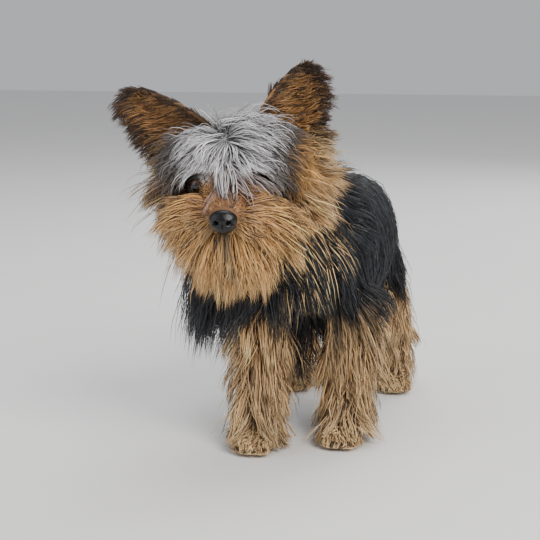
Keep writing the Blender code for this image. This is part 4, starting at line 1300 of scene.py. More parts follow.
@dataclass(frozen=True)
class Finish:
    """A surface that one noise mottles.

    Its colour goes from dark to pale with the mottle, given by scale and detail. Where
    painted is set, that is a tint of the colour that the mesh carries. The grain, which is
    the mottle where none is given, adds vary to its roughness and lifts it by relief, a
    strength and a distance. Cobbles of a given scale take the place of the grain in the
    relief.
    """

    name: str
    mottle: tuple[float, float]
    dark: tuple[float, float, float]
    pale: tuple[float, float, float]
    rough: float
    vary: float = 0.0
    specular: float = 0.5
    painted: bool = False
    grain: tuple[float, float] | None = None
    cobbles: float | None = None
    relief: tuple[float, float] | None = None

    @cache
    def material(self) -> bpy.types.Material:
        """The material, made at first use and then shared."""
        tree = Tree(self.name)
        mottle = tree.noise(*self.mottle)
        grain = tree.noise(*self.grain) if self.grain else mottle
        colour = tree.mix(mottle, (*self.dark, 1), (*self.pale, 1))
        if self.painted:
            colour = tree.tinted(tree.shade(), colour)
        tree.set(Base_Color=colour, Specular_IOR_Level=self.specular)
        tree.set(Roughness=self.rough + grain * self.vary if self.vary else self.rough)
        if self.relief:
            height = tree.cobbles(self.cobbles) if self.cobbles else grain
            tree.set(Normal=tree.bump(height, *self.relief))
        return tree.material


# Silky hair in its own colours, a little flecked
COAT = Finish(
    "coat",
    (900.0, 2.0),
    (0.80, 0.78, 0.76),
    (1.18, 1.16, 1.14),
    0.42,
    specular=0.55,
    painted=True,
)
# Skin in its own markings, patchy, with the fine grain of close short hair
SKIN = Finish(
    "skin",
    (120.0, 3.0),
    (0.7, 0.7, 0.7),
    (1.1, 1.08, 1.05),
    0.62,
    0.12,
    painted=True,
    grain=(1400.0, 4.0),
    relief=(0.5, 0.0006),
)
# Black, moist nose leather with the small cobbles of a dog's nose
NOSE = Finish(
    "nose_leather",
    (2600.0, 2.0),
    (0.0015, 0.0015, 0.002),
    (0.005, 0.0045, 0.0045),
    0.16,
    0.10,
    0.35,
    cobbles=1500.0,
    relief=(0.35, 0.0004),
)
# Near black horn with paler flecks
HORN = Finish(
    "claw_horn",
    (700.0, 3.0),
    (0.010, 0.008, 0.007),
    (0.045, 0.034, 0.026),
    0.28,
    0.2,
    relief=(0.3, 0.0003),
)
# The wet surface of the eyeball over its painted iris and white
EYE = Finish(
    "eye_glass",
    (1800.0, 3.0),
    (0.7, 0.7, 0.7),
    (1.3, 1.3, 1.3),
    0.06,
    0.02,
    0.55,
    painted=True,
)
# A plain pale floor with a trace of unevenness
FLOOR = Finish("studio_floor", (6.0, 2.0), (0.78, 0.77, 0.75), (0.82, 0.81, 0.79), 0.85)


def dressed(name: str, mesh: bpy.types.Mesh, finish: Finish, slot: str, *nodes: str) -> None:
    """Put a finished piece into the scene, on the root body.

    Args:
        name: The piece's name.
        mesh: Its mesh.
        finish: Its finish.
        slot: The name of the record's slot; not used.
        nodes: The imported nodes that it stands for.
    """
    thing = make_object(name, mesh)
    thing.data.materials.append(finish.material())
    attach(thing, "root")
    if nodes:
        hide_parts(*nodes)
    LOG.info("%s: %d triangles", name, len(mesh.polygons))


@dataclass
class Skin:
    """The one skin that stands for all the flesh: body, head, jaw, tail, legs, paws and ears."""

    cell: float = SKIN_CELL
    slit_wide: float = 1.05
    slit_high: float = 0.62
    rim: float = 0.0010

    def forms(self) -> list[tuple[Array, Array]]:
        """The closed forms of everything but the ears."""
        made = [TORSO.shell(60, 48, SKIN_INSET), NECK.shell(40, 40, SKIN_INSET)]
        made += [HEAD.shell(80, 56, SKIN_INSET * 0.5), JAW.shell(40, 32, SKIN_INSET)]
        made.append(TAIL.shell(40, 24, SKIN_INSET))
        for foot in FEET:
            made.append(foot.leg.shell(60, 28, SKIN_INSET))
            made += [ellipsoid(at, radii) for at, radii in foot.balls()]
        return made

    def slit(self, points: Array, side: int) -> tuple[Array, Array, Array]:
        """Where places lie against the opening between the lids of one eye.

        With a the angle across the eye and b the angle up it, both from its outward axis,
        the opening is |b| / slit_high + (a / slit_wide)^2 < 1.

        Args:
            points: Places in the head's frame.
            side: 1 for the left eye, -1 for the right.

        Returns:
            The value of that sum, the distance from the eye's middle and the way from it.
        """
        gap = points - eye_middle(side)
        far = np.linalg.norm(gap, axis=-1)
        way = unit(gap)
        outward = unit(np.array((side * 0.42, -1.0, 0.08)))
        across = unit(np.cross(np.array(UP), outward))
        rise = np.cross(outward, across)
        ahead = way @ outward
        a = np.arctan2(way @ across, ahead)
        b = np.arcsin(np.clip(way @ rise, -1, 1))
        value = np.abs(b) / self.slit_high + (a / self.slit_wide) ** 2
        return np.where(ahead > 0, value, 9.0), far, way

    def lidded(self, points: Array) -> Array:
        """Open the lids over both eyes.

        In the opening the skin goes to 1.3 mm inside the eyeball. From its edge the lids
        rise off the ball by rim, and run out to the skin's own shape where the sum is 2.2.

        Args:
            points: Places in the dog's frame.

        Returns:
            The places moved.
        """
        q = placed(HEAD_BACK, points)
        for side in (1, -1):
            value, far, way = self.slit(q, side)
            near = smooth(0.0155, 0.0125, far)
            lid = EYE_RADIUS + self.rim + (far - EYE_RADIUS - self.rim) * smooth(1.0, 2.2, value)
            lid = np.maximum(lid, EYE_RADIUS + self.rim * smooth(3.0, 1.6, value))
            want = np.where(value < 1.0, EYE_RADIUS - 0.0013, lid)
            want = np.where(value > 8, far, want)
            q = eye_middle(side) + way * (far + (want - far) * near)[..., None]
        return placed(HEAD_POSE, q)

    def creased(self, points: Array) -> Array:
        """Push the mouth line in and the lips out, in the head's frame.

        The line of the mouth lies at z = -MOUTH_LOW under the nose and falls by 0.0030 along
        the muzzle. Within 1.2 mm of it the skin is drawn in by up to 1 mm, and just above
        it the lip stands out by up to 0.7 mm.

        Args:
            points: Places in the dog's frame.

        Returns:
            The places moved.
        """
        q = placed(HEAD_BACK, points)
        back = np.clip((q[..., 1] + 0.066) / 0.040, 0, 1)
        height = q[..., 2] + MOUTH_LOW + 0.0030 * back
        here = smooth(-0.028, -0.036, q[..., 1])
        here = here * smooth(0.045, 0.04, np.linalg.norm(q, axis=-1) * 0.6)
        away = unit(q - np.array((0.0, -0.040, -0.016)))
        groove = np.exp(-((height / 0.0011) ** 2)) * 0.0010
        lip = np.exp(-(((height - 0.0026) / 0.0016) ** 2)) * 0.0007
        q = q + away * ((lip - groove) * here)[..., None]
        return placed(HEAD_POSE, q)

    def build(self, parts: list[tuple[Array, Array]]) -> None:
        """Melt the forms and ears into one piece, crease it, open the eyes and dress it.

        Args:
            parts: The closed forms of everything but the ears.
        """
        whole = parts + [ear.shell() for ear in EARS]
        points, faces = fused("skin", whole, self.cell, 4)
        eyes = placed(HEAD_POSE, np.array([eye_middle(side) for side in (1, -1)]))
        for reach in (0.0150, 0.0125):
            points, faces = refined(points, faces, eyes, reach)
        points = self.lidded(self.creased(points))
        points[:, 2] = np.maximum(points[:, 2], 0.0)
        mesh = make_mesh("skin", points + SHIFT, faces)
        shade = MARKINGS.skin(points)
        for side in (1, -1):
            value, far, _ = self.slit(placed(HEAD_BACK, points), side)
            lash = smooth(1.5, 1.15, value) * smooth(0.0135, 0.0115, far)
            shade = blend(shade, Tone.BLACK.light * 1.5, lash)
        paint(mesh, shade)
        names = ["torso", "neck", "head", "lower_jaw", "tail", "ear_left", "ear_right"]
        for foot in FEET:
            names += [foot.name, foot.paw]
        dressed("skin", mesh, SKIN, "black_coat", *names)


@dataclass
class Eye:
    """One eyeball: a ball with a swell of cornea, an iris, a pupil and a dark white."""

    side: int
    iris: float = 0.72
    pupil: float = 0.34
    brown: tuple = (0.040, 0.015, 0.006)
    black: tuple = (0.0015, 0.0015, 0.002)
    ring: tuple = (0.004, 0.003, 0.003)
    white: tuple = (0.045, 0.028, 0.020)

    def build(self) -> None:
        """Make the ball.

        Its points are middle + radius * (0.985 + 0.05 * cap) * way, where cap is 1 at the
        middle of the cornea and falls to 0 at its edge, 40 degrees out.
        """
        way = fronted(48, 64)
        radius = EYE_RADIUS * (0.985 + 0.05 * smooth(0.76, 1.0, -way[..., 1]))
        points, faces = closed_tube(way * radius[..., None])
        angle = np.arccos(np.clip(-unit(points)[:, 1], -1, 1))
        look = turned("Z", self.side * 20.0) @ turned("X", -3.0)
        points = placed(HEAD_POSE, placed(look, points) + eye_middle(self.side))
        shade = np.broadcast_to(np.array(self.brown), points.shape)
        for colour, start, stop in (
            (self.black, self.pupil + 0.03, self.pupil - 0.03),
            (self.ring, self.iris - 0.08, self.iris),
            (self.white, self.iris + 0.06, self.iris + 0.16),
        ):
            shade = blend(shade, np.array(colour), smooth(start, stop, angle))
        where = "left" if self.side > 0 else "right"
        mesh = make_mesh("eyeball_" + where, points + SHIFT, faced_out(points, faces))
        paint(mesh, shade)
        dressed("eyeball_" + where, mesh, EYE, "eye_glass", "eye_" + where)


@dataclass
class Nose:
    """The nose leather, with comma shaped nostrils and a groove down its middle."""

    rings: int = 90
    sides: int = 110

    def build(self) -> None:
        """Make the leather.

        It starts as a ball of the nose's radii with a flatter front. A nostril is a pit of
        gaussian section at x = 0.0041 that tails off outwards and down, and the groove is
        a narrow pit at x = 0 below the middle.
        """
        way = fronted(self.rings, self.sides)
        front = smooth(0.2, 0.9, -way[..., 1])
        x, h = way[..., 0] * NOSE_SIZE[0], way[..., 2] * NOSE_SIZE[2]
        net = way * (np.array(NOSE_SIZE) * (1 - 0.05 * front[..., None]))
        net[..., 0] *= 1 + 0.10 * smooth(-0.4, 0.5, way[..., 2])
        net[..., 2] = np.where(net[..., 2] > 0, net[..., 2] * 0.88, net[..., 2])
        side = np.abs(x)
        hole = np.exp(-(((side - 0.0041) / 0.0015) ** 2) - ((h - 0.0004) / 0.0015) ** 2)
        low = h + 0.0014 + (side - 0.0064) * 0.3
        tail = np.exp(-(((side - 0.0064) / 0.0016) ** 2) - (low / 0.0007) ** 2)
        wing = np.exp(-(((side - 0.0042) / 0.0034) ** 2) - ((h - 0.0030) / 0.0012) ** 2)
        groove = np.exp(-((x / 0.0005) ** 2)) * smooth(0.0012, -0.0012, h)
        net[..., 1] += (hole * 0.0034 + tail * 0.0020 + groove * 0.0009 - wing * 0.0005) * front
        points, faces = closed_tube(net)
        points = placed(HEAD_POSE, points + np.array(NOSE_AT))
        mesh = make_mesh("nose_leather", points + SHIFT, faced_out(points, faces))
        dressed("nose_leather", mesh, NOSE, "nose_leather", "nose")


@dataclass(frozen=True)
class EarHair:
    """One kind of hair on an ear: which part of it, and how it grows there.

    count is its number of hairs. inner and outer bound it across the ear, where 1 is the
    edge away from the head, and low bounds it along the ear. depth is 0 in the cup, 1 on
    the back and 0.5 on the edge. across and along are how far it flows to the outer edge
    and to the tip, and stand how steeply it leaves the leather. dark is the share of dark
    brown hairs.
    """

    count: int
    inner: float
    outer: float
    low: float
    depth: float
    across: float
    along: float
    stand: float
    long: float
    dark: float


EAR_HAIR = (
    EarHair(1150, -0.99, 0.99, 0.00, 1.0, 0.25, 1.00, 0.10, 0.0115, 0.75),
    EarHair(1750, -0.97, 0.97, 0.00, 0.0, 0.85, 0.70, 0.22, 0.0170, 0.32),
    EarHair(340, -1.00, -0.90, 0.02, 0.5, -0.05, 1.00, 0.30, 0.0085, 0.92),
    EarHair(720, 0.84, 1.00, 0.00, 0.5, 1.00, 0.30, 0.10, 0.0205, 0.60),
    EarHair(260, -0.95, 1.00, 0.80, 0.5, 0.60, 1.00, 0.10, 0.0120, 0.60),
)

# What is kept free before each eye: its side, the oval's radius, and the share of hairs kept out
SIGHTS = ((-1, 0.0088, 1.0), (1, 0.0084, 0.80))


def kept(keep: Array, *rows: Array) -> tuple[Array, ...]:
    """Those rows of several arrays that a mask keeps."""
    return tuple(row[keep] for row in rows)


@dataclass
class Coat:
    """All the hair of the dog, stretch by stretch.

    total counts its triangles, hem is the height of the body coat's edge, and roots that
    lie deeper than covered are under another form and left out.
    """

    field: Field
    total: int = 0
    seed: int = 7
    hem: float = 0.074
    covered: float = -0.0016

    def chance(self, stretch: int) -> np.random.Generator:
        """A source of chance of its own for one stretch."""
        return np.random.default_rng(self.seed + stretch)

    def on_skin(
        self,
        loft: Loft,
        count: int,
        start: float,
        stop: float,
        rng: np.random.Generator,
    ) -> tuple:
        """Roots of hair on a form, without those that another form covers.

        Args:
            loft: The form.
            count: How many roots are tried.
            start: First place along it.
            stop: Last place along it.
            rng: The source of chance.

        Returns:
            Roots, ways out and places on the unwrap.
        """
        roots, uv = loft.scatter(rng, count, start, stop)
        high, out = self.field.at(roots)
        return kept(high > self.covered, roots, out, uv)

    def lay(
        self,
        name: str,
        rng: np.random.Generator,
        stretch: Stretch,
        hair: Hair,
        sight: bool = False,
    ) -> None:
        """Grow, clump and bend the hair of one piece, and make its mesh.

        Args:
            name: The piece's name, after coat_.
            rng: The source of chance.
            stretch: Which stretch of the coat it belongs to.
            hair: The hair.
            sight: Whether it is kept out of the eyes.
        """
        strands = Strands(self.field, rng, stretch, hair)
        paths = strands.free() if stretch is Stretch.EAR else strands.grown()
        paths = strands.waved(strands.clumped(paths))
        if sight:
            paths = self.parted(paths, rng)
        self.total += strands.piece("coat_" + name, paths)

    def parted(self, paths: Array, rng: np.random.Generator) -> Array:
        """Hair cut short where it would cross an eye.

        The opening of an eye is an oval round the line from the eye's middle forwards and
        up. A path ends at the last point before it comes into the oval, but keeps at least
        the first 8% of its length. One in five of the hairs before the left eye stays.

        Args:
            paths: Points of the paths.
            rng: The source of chance.

        Returns:
            The paths with as many points as before.
        """
        q = placed(HEAD_BACK, paths)
        count, steps = q.shape[0], q.shape[1] - 1
        stop = np.full(count, float(steps))
        for side, reach, share in SIGHTS:
            middle = eye_middle(side) + np.array((side * 0.0004, 0, -0.0004))
            axis = unit(np.array((0.11 + side * 0.03, -0.93, 0.36)))
            gap = q - middle
            along = gap @ axis
            radial = (gap - along[..., None] * axis) * np.array((1.0, 1.0, 1.35))
            inside = (np.linalg.norm(radial, axis=-1) < reach + 0.10 * along) & (along > 0.001)
            inside[:, 0] = False
            first = np.where(inside.any(axis=1), np.argmax(inside, axis=1) - 0.6, steps)
            first = np.where(rng.random(count) < share, first, steps)
            stop = np.minimum(stop, np.maximum(first, steps * 0.08))
        return along_paths(paths, np.linspace(0, 1, steps + 1)[None] * stop[:, None])

    def black(self, roots: Array, rng: np.random.Generator) -> tuple[Array, Array]:
        """Colours of black hair, with lighter steel-blue strands among it as painted sheen.

        Args:
            roots: The places of the roots.
            rng: The source of chance.

        Returns:
            Colours at root and tip.
        """
        base = Tone.BLACK.over(roots)
        # Painted sheen: a random share of the strands goes towards a lighter steel blue, more so at the
        # tips
        sheen = rng.random(len(roots)) ** 3
        weights = sheen * 0.5, sheen * 0.9 + 0.04
        return tuple(blend(base, Tone.STEEL_SHEEN.light, weight) for weight in weights)

    def tawny(self, shade: Array, rng: np.random.Generator, pale: Array | float, dark: float) -> tuple:
        """Colours of gold or tan hair, with cream tips and some dark brown hairs.

        Args:
            shade: The colour of the markings at each root.
            rng: The source of chance.
            pale: How near each tip comes to cream.
            dark: The share of dark hairs.

        Returns:
            Colours at root and tip.
        """
        cream = pale * rng.uniform(0.5, 1.3, len(shade)).clip(0, 1)
        tips = blend(shade * 1.2, Tone.CREAM.light, cream)
        dark_one = (rng.random(len(shade)) < dark)[:, None]
        brown = Tone.BROWN.light
        return np.where(dark_one, brown * 1.3, shade), np.where(dark_one, brown * 2.6, tips)

    def body(self) -> None:
        """The long black coat: parted along the back, swept down and a little back.

        Its hem is level along the flank and rises towards the shoulders, so that each
        hair is 1.12 times as long as its root is above the hem, within limits. Under the
        belly it hangs free, and tan wisps come through it at the left shoulder.
        """
        rng = self.chance(0)
        sites = self.on_skin(TORSO, 15800, 0.25, 8.9, rng)
        roots = sites[0]
        x, y, z = roots.T
        rear, fore = smooth(0.080, 0.110, y), smooth(-0.045, -0.075, y)
        flow = ways(np.tanh(x / 0.004) * 0.8 * (1 - 0.5 * rear), 0.22 + 0.5 * rear - 0.5 * fore, -1.0)
        hem = self.hem + 0.020 * smooth(-0.030, -0.055, y)
        longs = np.clip((z - hem) * 1.12, 0.022, 0.082)
        belly = smooth(0.104, 0.094, z) * smooth(0.030, 0.012, np.abs(x))
        longs = longs + (0.014 + 0.034 * smooth(0.01, -0.02, y)) * belly
        colours, tips = self.black(roots, rng)
        wisp = smooth(0.006, 0.020, x) * smooth(-0.020, -0.034, y) * smooth(0.138, 0.118, z)
        wisp = (rng.random(len(roots)) < 0.75 * wisp)[:, None]
        shade = MARKINGS.leg(roots * np.array((1.0, 1.0, 0.5)))
        tan_roots, tan_tips = self.tawny(shade, rng, 0.9, 0.22)
        tones = np.where(wisp, tan_roots, colours), np.where(wisp, tan_tips, tips)
        shoulder = smooth(-0.010, -0.030, x) * smooth(-0.025, -0.050, y)
        longs = (longs + 0.022 * shoulder) * rng.uniform(0.78, 1.10, len(longs))
        puff = 0.9 - 0.35 * smooth(0.0, 0.05, y) + 3.4 * shoulder
        hair = Hair.sown(sites, flow, longs, tones, puff)
        where, under = np.digitize(y, (0.0, 0.055)), belly > 0.5
        for name, half in (("body_left", x > 0), ("body_right", ~(x > 0))):
            for k, part in enumerate(("fore", "mid", "rear")):
                self.lay(f"{name}_{part}", rng, Stretch.BODY, hair.only(half & ~under & (where == k)))
        self.lay("belly", rng, Stretch.BELLY, hair.only(under))

    def neck(self) -> None:
        """The ruff over nape and sides, and the long black bib under the throat."""
        rng = self.chance(1)
        sites = self.on_skin(NECK, 7000, 0.5, 4.6, rng)
        roots, (x, _, z) = sites[0], sites[1].T
        throat, right = smooth(0.1, -0.5, z), smooth(0.2, -0.4, x)
        flow = ways(np.tanh(x / 0.25) * 0.7, 0.75 * (1 - throat) - 0.40 * throat, -0.8 - 0.4 * throat)
        longs = 0.048 + 0.024 * throat + 0.024 * right * throat
        colours, tips = self.black(roots, rng)
        q = placed(HEAD_BACK, roots)
        gold = smooth(0.034, 0.024, q[:, 1]) * smooth(0.3, -0.2, z) * smooth(0.0, 0.3, x)
        gold = gold * (rng.random(len(roots)) < 0.35)
        longs = longs * (1 - 0.30 * gold)
        tones = blend(colours, Tone.GOLD.light, gold), blend(tips, Tone.CREAM.light, gold)
        puff = 0.75 + (1.9 * right + 0.5 * smooth(-0.1, 0.6, x)) * throat
        hair = Hair.sown(sites, flow, longs, tones, puff)
        left = roots[:, 0] > -0.018
        self.lay("neck_left", rng, Stretch.NECK, hair.only(left))
        self.lay("neck_right", rng, Stretch.NECK, hair.only(~left))

    def head(self) -> None:
        """The hair of the skull and face.

        It parts from a whorl a little right of the middle of the brow. In front it falls
        over the bridge, at the sides it sweeps out to the temples, and the cheeks flow
        out and down, away from the nose.
        """
        rng = self.chance(2)
        sites = self.on_skin(HEAD, 14500, 0.4, 6.6, rng)
        q = placed(HEAD_BACK, sites[0])
        centre = smooth(0.013, 0.009, np.abs(q[:, 0] + 0.004)) * smooth(-0.018, -0.024, q[:, 1])
        keep = eye_gap(q) > np.where(q[:, 0] > 0, 0.0094, 0.0106)
        keep = keep & (rng.random(len(q)) > centre * 0.45)
        *sites, q = kept(keep, *sites, q)
        x, y, z = q.T
        part = x + PARTING
        top = smooth(0.002, 0.012, z)
        fore, rear = smooth(-0.008, -0.021, y), smooth(0.010, 0.026, y)
        off = smooth(0.006, 0.013, np.abs(part))
        ahead = ways(np.clip(part / 0.012, -1.0, 1.0), -0.9 + 0.75 * off, -0.75 + 0.35 * off)
        aside = ways(np.tanh(part / 0.005), 0.02, -0.50)
        behind = ways(x / 0.030, 1.0, -0.5)
        cheek = unit(q - np.array((0.0, -0.058, -0.006))) * 0.85 + np.array((0, 0, -0.75))
        flow = aside * (1 - fore)[:, None] + ahead * fore[:, None]
        flow = flow * (1 - rear)[:, None] + behind * rear[:, None]
        flow = flow * top[:, None] + cheek * (1 - top)[:, None]
        inner = np.linalg.norm(ways(np.abs(x) - 0.012, y + 0.038, z + 0.002), axis=1)
        right = smooth(0.002, -0.006, x)
        over = 0.044 - 0.010 * right * smooth(0.020, 0.012, np.abs(part)) - 0.003 * fore * (1 - off)
        under = 0.008 + (0.046 + 0.014 * smooth(-0.004, -0.020, z)) * smooth(0.008, 0.032, inner)
        under = under * (1 - 0.34 * smooth(0.002, 0.020, x) * smooth(0.000, -0.018, z))
        longs = over * top + under * (1 - top)
        shade = MARKINGS.face(sites[0])
        crown_roots = shade * rng.choice([0.22, 0.7, 1.0], len(shade), p=[0.26, 0.3, 0.44])[:, None]
        crown_tips = shade * rng.choice([0.35, 1.0, 1.35], len(shade), p=[0.20, 0.35, 0.45])[:, None]
        gold_roots, gold_tips = self.tawny(shade, rng, 0.40 + 0.25 * smooth(0.0, 0.02, x), 0.17)
        longs = longs * rng.uniform(0.80, 1.10, len(longs))
        tones = blend(gold_roots, crown_roots, top), blend(gold_tips, crown_tips, top)
        flank = smooth(0.010, 0.028, np.abs(part))
        high = (0.75 + 0.65 * smooth(-0.020, 0.0, y) + 0.5 * flank) * (1 - 0.45 * fore * (1 - flank))
        puff = high * top + (0.35 + 0.85 * smooth(0.010, 0.030, inner)) * (1 - top)
        hair = Hair.sown(sites, from_head(flow), longs, tones, puff)
        for name, half in (("head_left", x > 0), ("head_right", ~(x > 0))):
            self.lay(name + "_crown", rng, Stretch.CROWN, hair.only(half & (top > 0.5)), True)
            self.lay(name + "_cheek", rng, Stretch.CHEEK, hair.only(half & (top <= 0.5)), True)

    def lids(self) -> None:
        """Short hair round the eyes, which grows away from them."""
        rng = self.chance(6)
        sites = self.on_skin(HEAD, 26000, 3.0, 7.4, rng)
        q = placed(HEAD_BACK, sites[0])
        away = q - np.array(EYE_AT) * ways(np.sign(q[:, 0]), 1, 1)
        far = np.linalg.norm(away, axis=1)
        *sites, away = kept((far > 0.0072) & (far < 0.0135), *sites, away)
        flow = from_head(unit(away) + np.array((0, 0.5, -0.2)))
        tones = self.tawny(MARKINGS.face(sites[0]), rng, 0.15, 0.30)
        self.lay("lids", rng, Stretch.LIDS, Hair.sown(sites, flow, 0.0062, tones, 1.0), True)

    def muzzle(self) -> None:
        """Short rust hair that grows out from the nose, and the long moustache at its sides."""
        rng = self.chance(3)
        sites = self.on_skin(HEAD, 7600, 5.6, 9.2, rng)
        q = placed(HEAD_BACK, sites[0])
        gap = np.linalg.norm((q - np.array(NOSE_AT)) / np.array(NOSE_SIZE), axis=1)
        *sites, q = kept(gap > 1.02, *sites, q)
        x, y, z = q.T
        low = smooth(0.000, -0.012, z) * smooth(0.002, 0.008, np.abs(x))
        back = smooth(-0.064, -0.042, y)
        ray = unit(ways(x, 0.0, z + 0.010) + 1e-6)
        back_down = ways(0.0, 0.55 - 0.25 * low, 0.10 - 0.55 * low)
        flow = from_head(ray * np.array((1.0, 0, 0.75)) + back_down)
        drop = low * (0.003 + 0.042 * back) * rng.uniform(0.75, 1.12, len(x))
        longs = 0.0065 + 0.0045 * back + drop
        tones = self.tawny(MARKINGS.face(sites[0]), rng, 0.10 + 0.40 * low, 0.24)
        hair = Hair.sown(sites, flow, longs, tones, 1.0)
        short = longs < 0.014
        self.lay("muzzle", rng, Stretch.MUZZLE, hair.only(short), True)
        self.lay("moustache", rng, Stretch.MOUSTACHE, hair.only(~short))

    def beard(self) -> None:
        """Long gold hair that hangs in pointed locks from the jaw and chin."""
        rng = self.chance(4)
        sites = self.on_skin(JAW, 5600, 0.3, 4.8, rng)
        x, y, _ = placed(HEAD_BACK, sites[0]).T
        flow = from_head(ways(x * 60, -0.10, -1.0))
        longs = (0.058 - 0.014 * smooth(-0.046, -0.056, y)) * rng.uniform(0.68, 1.12, len(x))
        tones = self.tawny(MARKINGS.face(sites[0]), rng, 0.55, 0.14)
        self.lay("beard", rng, Stretch.BEARD, Hair.sown(sites, flow, longs, tones, 1.0))

    def legs(self) -> None:
        """Feathering of the legs, thrown out and back and splayed over the feet."""
        for k, foot in enumerate(FEET):
            rng = self.chance(10 + k)
            sites = self.on_skin(foot.leg, 3000, 0.9, 7.2 if foot.hind else 6.4, rng)
            z, out = sites[0][:, 2], sites[1]
            low = smooth(0.035, 0.012, z)
            outer, rear = smooth(-0.2, 0.8, out[:, 0] * foot.side), smooth(-0.3, 0.7, out[:, 1])
            sweep, close = (0.0, 0.60) if foot.hind else (0.28, 0.16)
            flow = ways(
                out[:, 0] * (0.45 + 0.9 * low) + foot.side * sweep * outer,
                0.12 + sweep * outer + out[:, 1] * (0.45 + 0.8 * low),
                -1.0 + 0.3 * low,
            )
            longs = np.where(z > 0.036, 0.045, np.clip(z * 1.2 + 0.004, 0.018, 0.045))
            tones = self.tawny(MARKINGS.leg(sites[0]), rng, 0.95, 0.25)
            black = smooth(0.112, 0.124, z)
            tones = tuple(blend(tone, Tone.BLACK.light, black) for tone in tones)
            puff = 0.55 + 0.55 * np.maximum(outer, rear) - close * outer
            self.lay(foot.name, rng, Stretch.LEG, Hair.sown(sites, flow, longs, tones, puff))

    def paws(self) -> None:
        """Hair over the toes, splayed on the floor."""
        for k, foot in enumerate(FEET):
            rng = self.chance(20 + k)
            rows = []
            for ball, (at, radii) in enumerate(foot.balls()):
                way = unit(rng.normal(0, 1, (260, 3)))
                way = way[way[:, 2] > -0.35]
                place = foot.patch.spots(0.1 + 0.16 * ball + 0.07 * way[:, 0], 0.5 + 0.4 * way[:, 1])
                rows.append((at + way * radii, unit(way / radii), place))
            sites = tuple(np.concatenate(column) for column in zip(*rows))
            high, _ = self.field.at(sites[0])
            sites = kept((high > -0.0022) & (sites[0][:, 2] > 0.0025), *sites)
            x, y, _ = sites[1].T
            flow = ways(x * 0.9, -0.9 + 0.4 * y, -0.6)
            tones = self.tawny(MARKINGS.leg(sites[0]), rng, 0.5, 0.16)
            self.lay(foot.paw, rng, Stretch.PAW, Hair.sown(sites, flow, 0.0140, tones, 1.0))

    def tail(self) -> None:
        """The plume of the tail, which falls past its tip."""
        rng = self.chance(5)
        sites = self.on_skin(TAIL, 1700, 0.6, 4.7, rng)
        tones = self.black(sites[0], rng)
        hair = Hair.sown(sites, ways(sites[1][:, 0] * 0.4, 0.35, -1.0), 0.034, tones, 1.0)
        self.lay("tail", rng, Stretch.TAIL, hair)

    def ears(self) -> None:
        """Hair of the ears: close behind, long and swept out in the cup, and tufts at the edge.

        On the leather S(u, v) a hair flows along dS/dv * side * across + dS/du * along, both
        made one long, and leaves it along their cross product.
        """
        for k, ear in enumerate(EARS):
            rng = self.chance(30 + k)
            rows = []
            for kind in EAR_HAIR:
                u = kind.low + (0.965 - kind.low) * rng.random(kind.count) ** 1.15
                v = ear.side * rng.uniform(kind.inner, kind.outer, kind.count)
                depth = EAR_THICK * kind.depth
                at = ear.surface(u, v, depth)
                over = unit(ear.surface(u, v + 0.01, depth) - at) * ear.side
                rise = unit(ear.surface(u + 0.01, v, depth) - at)
                rear = unit(np.cross(rise, over)) * ear.side
                out = rear * (2 * kind.depth - 1)
                if kind.depth == 0.5:
                    out = over * np.sign(v * ear.side)[:, None] - rear * 0.3
                flow = over * kind.across + rise * kind.along
                gold = smooth(0.45, 0.15, u) * smooth(0.3, 0.9, v * ear.side) * 0.8
                shade = blend(MARKINGS.ear(u, v), Tone.CREAM.light * 0.75, gold)
                dark = (rng.random(kind.count) < kind.dark * (1 - gold * 0.9))[:, None]
                shade = np.where(dark, Tone.BROWN.light, shade)
                longs = kind.long * (1 + 0.45 * gold)
                puff = np.full(kind.count, kind.stand)
                place = ear.patch.spots(u, 0.5 + 0.48 * v)
                rows.append((at, out, place, flow, longs, shade, shade * 1.6, puff))
            hair = Hair(*(np.concatenate(column) for column in zip(*rows)))
            self.lay(ear.name, rng, Stretch.EAR, hair)

    def build(self) -> None:
        """Lay every stretch of the coat."""
        self.body()
        self.neck()
        self.head()
        self.lids()
        self.muzzle()
        self.beard()
        self.legs()
        self.paws()
        self.tail()
        self.ears()
        LOG.info("coat: %d triangles", self.total)


class Claws:
    """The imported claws, which keep their shape and get the look of horn."""

    def build(self) -> None:
        """Dress each claw."""
        claws = [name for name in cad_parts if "claw" in name]
        for name in claws:
            thing = bpy.data.objects[name]
            thing.data.materials.clear()
            thing.data.materials.append(HORN.material())
        LOG.info("claws: %d", len(claws))


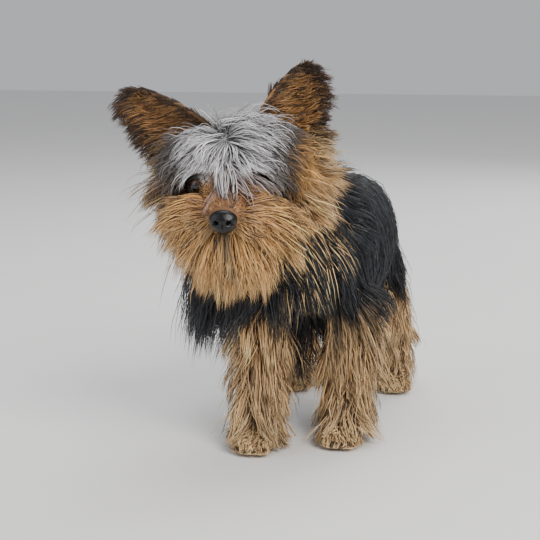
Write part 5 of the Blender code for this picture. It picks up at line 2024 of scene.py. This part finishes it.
@dataclass
class Studio:
    """The floor, the lights and the camera."""

    reach: float = 6.0

    def floor(self) -> None:
        """A pale floor that runs out past what the camera sees."""
        corners = np.array([(-1, -1, 0), (1, -1, 0), (1, 1, 0), (-1, 1, 0)]) * self.reach
        mesh = make_mesh("floor", corners, np.array([(0, 1, 2), (0, 2, 3)]))
        ground = make_object("floor", mesh)
        ground.data.materials.append(FLOOR.material())

    def light(self, name: str, at: tuple, size: float, power: float, colour: tuple) -> None:
        """A soft square light that faces the dog.

        Args:
            name: Its name.
            at: Its place.
            size: The length of its side in metres.
            power: Its power in watts.
            colour: Its colour.
        """
        lamp = bpy.data.lights.new(name, "AREA")
        lamp.size = size
        lamp.energy = power
        lamp.color = colour
        thing = bpy.data.objects.new(name, lamp)
        bpy.context.scene.collection.objects.link(thing)
        thing.location = at
        thing.rotation_euler = (Vector((0, 0, 0.15)) - Vector(at)).to_track_quat("-Z", "Y").to_euler()

    def world(self) -> None:
        """Even pale light from all round."""
        sky = bpy.data.worlds.new("studio")
        sky.use_nodes = True
        ground = sky.node_tree.nodes["Background"]
        ground.inputs["Color"].default_value = (0.93, 0.95, 1.0, 1)
        ground.inputs["Strength"].default_value = 0.55
        bpy.context.scene.world = sky

    def camera(self) -> None:
        """The camera at the photograph's angle."""
        turn, rise = math.radians(CAMERA_TURN), math.radians(CAMERA_RISE)
        flat = math.cos(rise)
        back = Vector((math.sin(turn) * flat, -math.cos(turn) * flat, math.sin(rise)))
        lens = bpy.data.cameras.new("camera")
        lens.lens = CAMERA_LENS
        lens.sensor_width = 36.0
        thing = bpy.data.objects.new("camera", lens)
        bpy.context.scene.collection.objects.link(thing)
        thing.location = Vector(CAMERA_AIM) + Vector(SHIFT) + back * CAMERA_FAR
        thing.rotation_euler = (-back).to_track_quat("-Z", "Y").to_euler()
        bpy.context.scene.camera = thing

    def build(self) -> None:
        """Set up the studio."""
        self.floor()
        self.light("key", (1.3, -1.3, 1.5), 1.2, 54.0, (1.0, 0.97, 0.93))
        self.light("fill", (-1.6, -1.2, 0.9), 1.6, 12.0, (0.93, 0.96, 1.0))
        self.light("top", (0.0, 0.4, 1.9), 1.4, 16.0, (1.0, 1.0, 1.0))
        self.light("rim", (0.7, 1.6, 1.0), 1.0, 12.0, (0.95, 0.98, 1.0))
        self.world()
        self.camera()


def main() -> None:
    """Build the studio and the dog, piece by piece."""
    logging.basicConfig(level=logging.INFO, format="%(message)s")
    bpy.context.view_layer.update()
    Studio().build()
    skin = Skin()
    forms = skin.forms()
    field = Field(*fused("flesh", forms, FLESH_CELL, 2))
    skin.build(forms)
    for side in (1, -1):
        Eye(side).build()
    Nose().build()
    Claws().build()
    Coat(field).build()


if __name__ == "__main__":
    main()
